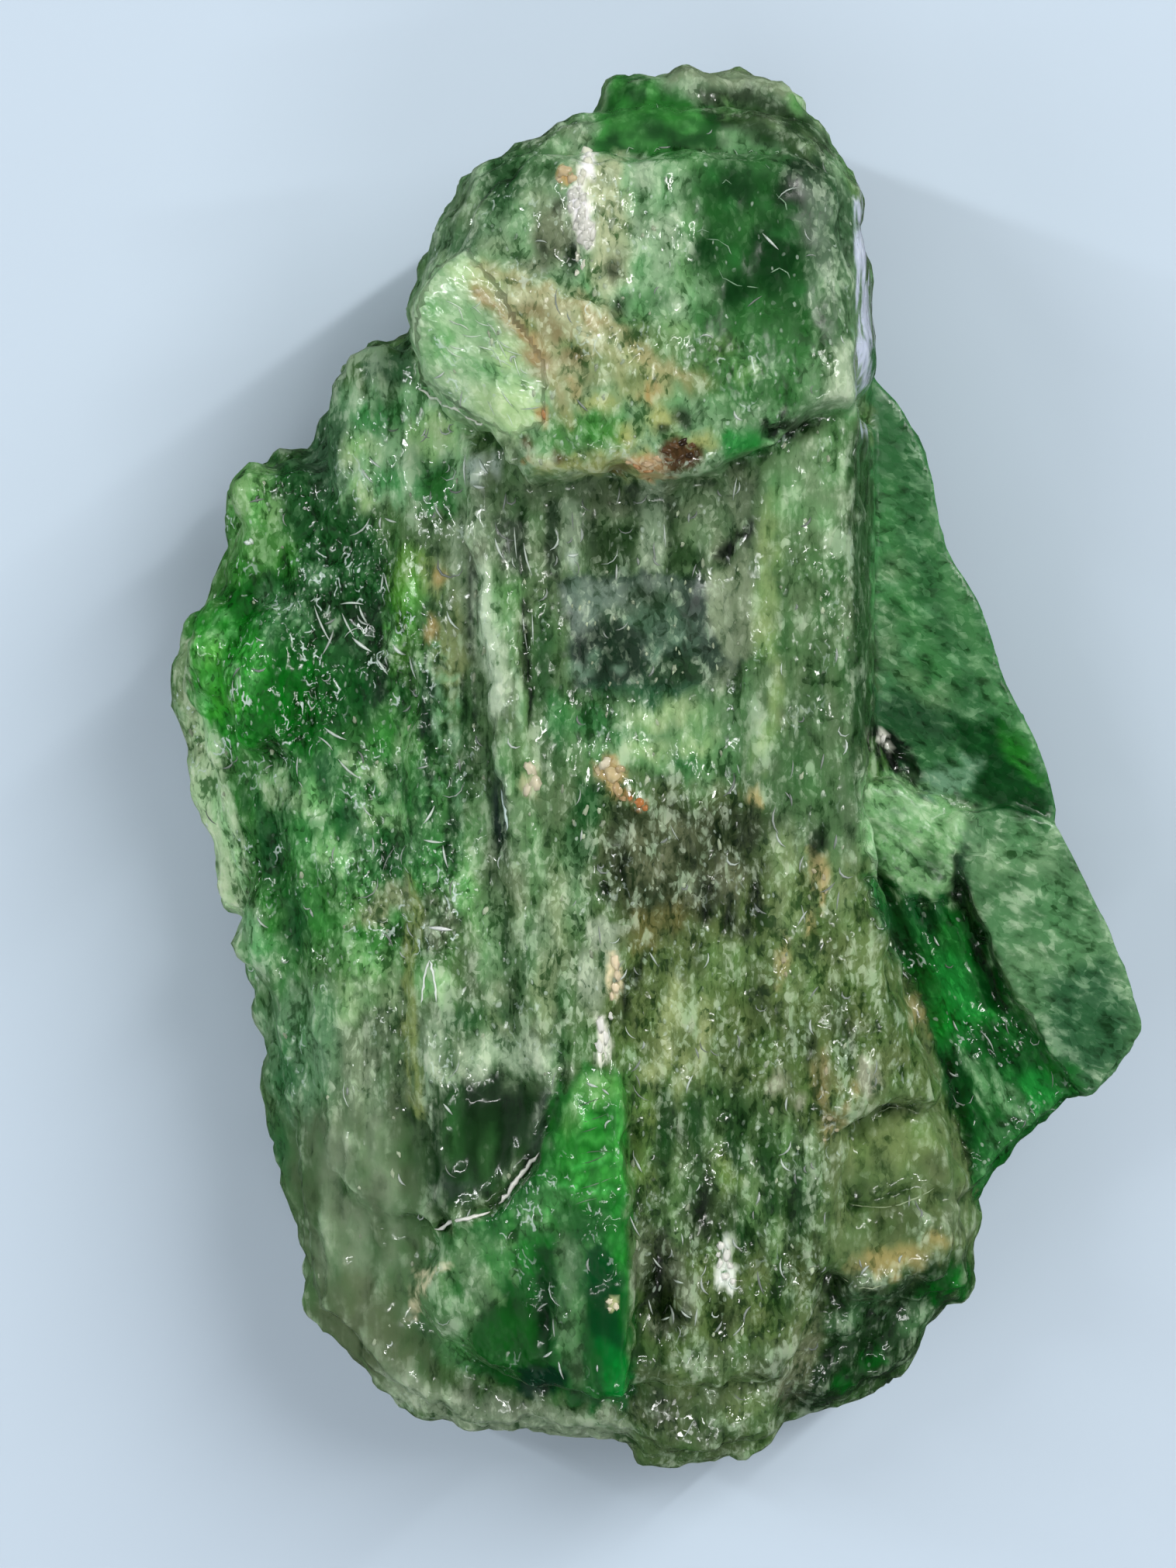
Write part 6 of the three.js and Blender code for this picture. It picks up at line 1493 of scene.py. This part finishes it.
more_v, more_f, more_c = np.vstack(more_v), np.vstack(more_f), np.vstack(more_c)
extra = len(more_v)
old = me
me = mesh_from(np.vstack([p, more_v]).tolist(), np.vstack([base_tris.reshape(-1, 3), more_f]).tolist(), "diopside_rough")
crystal.data = me
bpy.data.meshes.remove(old)
p = np.vstack([p, more_v]).astype(np.float32)
tint = np.vstack([tint, more_c * 1.12])
g = np.vstack([g, more_v]).astype(np.float32)
kinds = np.vstack([kinds, np.tile([0.0, 0.4, 0.0], (extra, 1))])
shade = np.r_[shade, rng.uniform(-0.3, 0.3, extra)]
dull = np.r_[dull, np.full(extra, 0.2)]
flat_lying = np.r_[flat_lying, np.zeros(extra)]
milk = np.r_[milk, np.full(extra, 0.5)]
fine_k = np.r_[fine_k, np.zeros(extra)]
ed = edges(me)
stamp(f"chips and splinters added, {len(me.polygons)} faces")


def store(name, kind, values):
    a = me.attributes.new(name, kind, "POINT")
    a.data.foreach_set({"FLOAT_COLOR": "color", "FLOAT_VECTOR": "vector", "FLOAT": "value"}[kind], np.ascontiguousarray(values, np.float32).ravel())


store("tint", "FLOAT_COLOR", np.c_[np.clip(tint, 0, 1), np.ones(len(p))])
store("grain", "FLOAT_VECTOR", g)
store("kinds", "FLOAT_VECTOR", kinds)
store("shade", "FLOAT", shade)
store("dull", "FLOAT", dull)
store("milk", "FLOAT", milk)
store("grains_and_sparkle", "FLOAT", fine_k)
stamp("attributes stored")

# ---- to metres, smooth shading ----------------------------------------------------
p[:, 2] = np.maximum(p[:, 2], 0.03)
me.vertices.foreach_set("co", (p * 0.001).astype(np.float32).ravel())
me.update()
me.shade_smooth()
n = normals(me)
soft_n = relax(n, ed, 1)
level = smooth(n[:, 2], 0.75, 0.95)
softer = relax(soft_n * level[:, None], ed, 14)
reach = np.linalg.norm(softer, axis=1)
softer /= np.maximum(reach, 1e-6)[:, None]
soft_n += (flat_lying * level * (reach > 0.01))[:, None] * (softer - soft_n)
soft_n /= np.maximum(np.linalg.norm(soft_n, axis=1, keepdims=True), 1e-6)
me.normals_split_custom_set_from_vertices([tuple(c) for c in soft_n.tolist()])

# ---- material ---------------------------------------------------------------------
mat = bpy.data.materials.new("chrome_diopside")
mat.use_nodes = True
nt = mat.node_tree
nt.nodes.clear()


def node(kind, **inputs):
    x = nt.nodes.new(kind)
    for k, val in inputs.items():
        setattr(x, k, val)
    return x


def link(a, b):
    nt.links.new(a, b)


def attribute(name):
    x = node("ShaderNodeAttribute")
    x.attribute_type = "GEOMETRY"
    x.attribute_name = name
    return x


def math_node(op, a, b=None, c=None, clamp=False):
    x = node("ShaderNodeMath")
    x.operation = op
    x.use_clamp = clamp
    for i, val in enumerate((a, b, c)):
        if val is None:
            continue
        if isinstance(val, (int, float)):
            x.inputs[i].default_value = val
        else:
            link(val, x.inputs[i])
    return x.outputs[0]


def ramp(value, a, b, to=(0.0, 1.0)):
    x = node("ShaderNodeMapRange")
    x.interpolation_type = "SMOOTHSTEP"
    link(value, x.inputs["Value"])
    x.inputs["From Min"].default_value = a
    x.inputs["From Max"].default_value = b
    x.inputs["To Min"].default_value = to[0]
    x.inputs["To Max"].default_value = to[1]
    return x.outputs["Result"]


def stretched(vector, sx, sy, sz):
    x = node("ShaderNodeVectorMath")
    x.operation = "MULTIPLY"
    link(vector, x.inputs[0])
    x.inputs[1].default_value = (sx, sy, sz)
    return x.outputs[0]


def noise_at(vector, detail=3.0, rough=0.55, scale=1.0, distort=0.0):
    x = node("ShaderNodeTexNoise")
    link(vector, x.inputs["Vector"])
    x.inputs["Scale"].default_value = scale
    x.inputs["Detail"].default_value = detail
    x.inputs["Roughness"].default_value = rough
    x.inputs["Distortion"].default_value = distort
    return x


def mixed(factor, a, b, mode="MIX"):
    x = node("ShaderNodeMix")
    x.data_type = "RGBA"
    x.blend_type = mode
    x.clamp_factor = True
    if isinstance(factor, (int, float)):
        x.inputs["Factor"].default_value = factor
    else:
        link(factor, x.inputs["Factor"])
    for val, sock in ((a, x.inputs[6]), (b, x.inputs[7])):
        if isinstance(val, tuple):
            sock.default_value = (*val, 1)
        else:
            link(val, sock)
    return x.outputs[2]


def cells_at(vector):
    """Crisp-edged grains: each one's number and its random colour."""
    x = node("ShaderNodeTexVoronoi")
    x.voronoi_dimensions = "3D"
    x.feature = "F1"
    link(vector, x.inputs["Vector"])
    x.inputs["Scale"].default_value = 1.0
    parts = node("ShaderNodeSeparateColor")
    link(x.outputs["Color"], parts.inputs[0])
    return parts.outputs[0], parts.outputs[1], x.outputs["Color"], x.outputs["Distance"]


def vector_node(op, a, b, scale=None):
    x = node("ShaderNodeVectorMath")
    x.operation = op
    for i, val in enumerate((a, b)):
        if val is None:
            continue
        if isinstance(val, tuple):
            x.inputs[i].default_value = val
        else:
            link(val, x.inputs[i])
    if scale is not None:
        if isinstance(scale, (int, float)):
            x.inputs["Scale"].default_value = scale
        else:
            link(scale, x.inputs["Scale"])
    return x.outputs[0]


def shaken(vector, amount, size):
    """The coordinates pushed about by noise."""
    x = noise_at(stretched(vector, size, size * 0.5, size), 1, 0.5)
    y = node("ShaderNodeVectorMath")
    y.operation = "MULTIPLY_ADD"
    link(x.outputs["Color"], y.inputs[0])
    y.inputs[1].default_value = (amount, amount, amount)
    link(vector, y.inputs[2])
    return y.outputs[0]


grain = attribute("grain").outputs["Vector"]
tint_a = attribute("tint").outputs["Color"]
kinds_a = node("ShaderNodeSeparateXYZ")
link(attribute("kinds").outputs["Vector"], kinds_a.inputs[0])
fibre_k, cloud_k, ripple_k = kinds_a.outputs
shade_a = attribute("shade").outputs["Fac"]
dull_a = attribute("dull").outputs["Fac"]
milk_a = attribute("milk").outputs["Fac"]
fine_a = attribute("grains_and_sparkle").outputs["Fac"]
clear_a = math_node("SUBTRACT", 1.0, dull_a, None, True)

moved = shaken(grain, 0.5, 1.6)
# long grains in the fibrous parts, short ones in the cloudy parts
long_n, long_m, long_c, long_d = cells_at(stretched(moved, 3.4, 1.5, 1.5))
short_n, short_m, short_c, short_d = cells_at(stretched(moved, 4.2, 2.8, 2.6))
strokes = noise_at(stretched(grain, 2.6, 0.9, 1.2), 4, 0.62, 1.0, 0.0)
mottle = noise_at(stretched(grain, 1.9, 1.2, 1.2), 5, 0.68, 1.0, 0.0)


def centred(value, width=1.0):
    return math_node("MULTIPLY", math_node("SUBTRACT", value, 0.5), width)


# light and dark of the grains, about -1 to 1
threads = noise_at(stretched(grain, 3.0, 0.26, 0.8), 3, 0.6, 1.0, 0.0)
fibre_tone = math_node("ADD", centred(long_n, 1.0), centred(strokes.outputs["Fac"], 2.8))
fibre_tone = math_node("ADD", fibre_tone, centred(threads.outputs["Fac"], 3.4))
cloud_tone = math_node("ADD", centred(short_n, 1.2), centred(mottle.outputs["Fac"], 4.0))
tone = math_node("MULTIPLY", fibre_tone, fibre_k)
tone = math_node("ADD", tone, math_node("MULTIPLY", cloud_tone, cloud_k))
# sugary grains where it is lumpy: pale in the middle, dark between
sugar = ramp(short_d, 0.16, 0.78, (0.85, -0.55))
tone = math_node("ADD", tone, math_node("MULTIPLY", sugar, ripple_k))
# painted shade and highlight from the hollows, with the mottling
tone = math_node("SUBTRACT", tone, shade_a)

# the finest grains, each with a tone of its own
fine_n, fine_m, fine_c, fine_d = cells_at(stretched(moved, 6.4, 3.8, 4.4))
tone = math_node("ADD", tone, math_node("MULTIPLY", centred(fine_n, 1.5), fine_a))

dark_k = ramp(tone, 0.0, -1.35)
pale_k = ramp(tone, 0.05, 1.45)
colour = mixed(dark_k, tint_a, mixed(1.0, tint_a, (0.18, 0.30, 0.18), "MULTIPLY"))
milky = mixed(long_m, (0.52, 0.62, 0.46), (0.36, 0.52, 0.33))
frost = mixed(milk_a, mixed(1.0, tint_a, (2.0, 1.75, 1.85), "MULTIPLY"), milky)
colour = mixed(pale_k, colour, frost)
# painted highlights: pale dots on a few of the finest cells, standing in for sparkles
painted_sparkle = math_node("MULTIPLY", ramp(fine_m, 0.93, 0.97), ramp(fine_d, 0.50, 0.30))
painted_sparkle = math_node("MULTIPLY", painted_sparkle, ramp(fine_a, 0.15, 0.75))
painted_sparkle = math_node("MULTIPLY", painted_sparkle, ramp(mottle.outputs["Fac"], 0.42, 0.58, (0.25, 1.0)))
colour = mixed(math_node("MULTIPLY", painted_sparkle, 0.65), colour, (0.52, 0.64, 0.52))

rough = ramp(short_m, 0.2, 0.9, (0.06, 0.18))
rough = math_node("ADD", rough, math_node("MULTIPLY", dull_a, 0.3))

# wet ripples too fine for the mesh, and each grain's own tilt
swell = noise_at(stretched(grain, 2.1, 1.4, 2.1), 1, 0.5, 1.0, 0.0)
bump = node("ShaderNodeBump")
bump.inputs["Strength"].default_value = 1.0
bump.inputs["Distance"].default_value = 0.001
link(math_node("MULTIPLY", swell.outputs["Fac"], math_node("MULTIPLY", ripple_k, 0.5)), bump.inputs["Height"])
lean_l = vector_node("SCALE", vector_node("SUBTRACT", long_c, (0.5, 0.5, 0.5)), None, math_node("MULTIPLY", fibre_k, math_node("MULTIPLY", clear_a, 0.30)))
lean_s = vector_node("SCALE", vector_node("SUBTRACT", short_c, (0.5, 0.5, 0.5)), None, math_node("MULTIPLY", cloud_k, math_node("MULTIPLY", clear_a, 0.20)))
# painted highlights: thin, pale, curled lines on the ripples, standing in for glints
painted_glints = math_node("ABSOLUTE", math_node("SUBTRACT", swell.outputs["Fac"], 0.5))
painted_glints = math_node("MULTIPLY", ramp(painted_glints, 0.044, 0.018), ramp(mottle.outputs["Fac"], 0.535, 0.575))
painted_glints = math_node("MULTIPLY", painted_glints, ramp(ripple_k, 0.25, 0.7))
colour = mixed(math_node("MULTIPLY", painted_glints, 0.85), colour, (0.66, 0.80, 0.72))
facing_n = vector_node("NORMALIZE", vector_node("ADD", vector_node("ADD", bump.outputs["Normal"], lean_l), lean_s), None)

shader = node("ShaderNodeBsdfPrincipled")
link(colour, shader.inputs["Base Color"])
link(rough, shader.inputs["Roughness"])
link(facing_n, shader.inputs["Normal"])
shader.inputs["IOR"].default_value = 1.67
shader.inputs["Transmission Weight"].default_value = 0.16
shader.inputs["Subsurface Weight"].default_value = 0.25
shader.inputs["Subsurface Radius"].default_value = (0.8, 1.0, 0.8)
shader.inputs["Subsurface Scale"].default_value = 0.0005
shader.inputs["Specular IOR Level"].default_value = 0.16
inside = node("ShaderNodeVolumeAbsorption")
inside.inputs["Color"].default_value = (0.16, 0.72, 0.2, 1)
inside.inputs["Density"].default_value = 340.0
out = node("ShaderNodeOutputMaterial")
link(shader.outputs["BSDF"], out.inputs["Surface"])
link(inside.outputs["Volume"], out.inputs["Volume"])
me.materials.clear()
me.materials.append(mat)

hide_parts("diopside_crystal")
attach(crystal, "root")

# ---- floor, light and camera ----------------------------------------------------------
floor_me = bpy.data.meshes.new("floor")
floor_me.from_pydata([(-1.5, -1.5, 0), (1.5, -1.5, 0), (1.5, 1.5, 0), (-1.5, 1.5, 0)], [], [(0, 1, 2, 3)])
floor = bpy.data.objects.new("floor", floor_me)
bpy.context.scene.collection.objects.link(floor)
floor_mat = bpy.data.materials.new("pale_floor")
floor_mat.use_nodes = True
fb = floor_mat.node_tree.nodes["Principled BSDF"]
fb.inputs["Base Color"].default_value = (0.50, 0.59, 0.685, 1)
fb.inputs["Roughness"].default_value = 0.75
fb.inputs["Specular IOR Level"].default_value = 0.2
floor_me.materials.append(floor_mat)
# The worn walls are too rough to mirror it.
floor.visible_glossy = False


def lamp(name, at, size, size_y, power, colour, target=(0, 0, 0.008)):
    d = bpy.data.lights.new(name, "AREA")
    d.shape = "RECTANGLE"
    d.size, d.size_y = size, size_y
    d.energy = power
    d.color = colour
    o = bpy.data.objects.new(name, d)
    o.location = at
    o.rotation_euler = (Vector(target) - Vector(at)).to_track_quat("-Z", "Y").to_euler()
    bpy.context.scene.collection.objects.link(o)
    return o


# Radiance times pi times the area gives the power. The broad lamps only fill,
# the narrow ones glint on the breaks.
lamp("window", (0.30, 0.24, 0.36), 0.020, 0.42, 1.45, (1.0, 0.99, 0.97))
lamp("soft_right", (0.36, 0.26, 0.44), 0.34, 0.34, 1.60, (1.0, 0.995, 0.985)).visible_glossy = False
lamp("window_left", (-0.38, 0.16, 0.34), 0.016, 0.34, 0.90, (0.97, 0.99, 1.0))
lamp("soft_left", (-0.42, -0.22, 0.44), 0.34, 0.34, 0.75, (0.97, 0.985, 1.0)).visible_glossy = False
lamp("window_low", (0.06, -0.42, 0.36), 0.30, 0.016, 0.70, (1.0, 1.0, 1.0))

world = bpy.data.worlds.new("studio")
bpy.context.scene.world = world
world.use_nodes = True
wt = world.node_tree
bg = wt.nodes["Background"]
bg.inputs["Color"].default_value = (0.93, 0.96, 1.0, 1)
# a soft room, darker straight above
where = wt.nodes.new("ShaderNodeTexCoord")
split = wt.nodes.new("ShaderNodeSeparateXYZ")
wt.links.new(where.outputs["Generated"], split.inputs[0])
fade = wt.nodes.new("ShaderNodeMapRange")
fade.interpolation_type = "SMOOTHSTEP"
wt.links.new(split.outputs["Z"], fade.inputs["Value"])
fade.inputs["From Min"].default_value = 0.55
fade.inputs["From Max"].default_value = 0.97
fade.inputs["To Min"].default_value = 0.40
fade.inputs["To Max"].default_value = 0.10
ground = wt.nodes.new("ShaderNodeMapRange")
ground.interpolation_type = "SMOOTHSTEP"
wt.links.new(split.outputs["Z"], ground.inputs["Value"])
ground.inputs["From Min"].default_value = -0.15
ground.inputs["From Max"].default_value = 0.45
ground.inputs["To Min"].default_value = 0.08
ground.inputs["To Max"].default_value = 1.0
both = wt.nodes.new("ShaderNodeMath")
both.operation = "MULTIPLY"
wt.links.new(fade.outputs["Result"], both.inputs[0])
wt.links.new(ground.outputs["Result"], both.inputs[1])
wt.links.new(both.outputs[0], bg.inputs["Strength"])

cam_data = bpy.data.cameras.new("eye")
cam_data.sensor_width = 36
cam_data.lens = 36 * (EYE_Z - REF_Z) / (2022 * PER_UNIT)
cam_data.clip_start = 0.01
cam = bpy.data.objects.new("eye", cam_data)
cam.location = (EYE_X / 1000, EYE_Y / 1000, EYE_Z / 1000)
cam.rotation_euler = (0, 0, 0)
bpy.context.scene.collection.objects.link(cam)
bpy.context.scene.camera = cam
bpy.context.scene.view_settings.view_transform = "Standard"

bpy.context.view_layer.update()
stamp("scene ready")
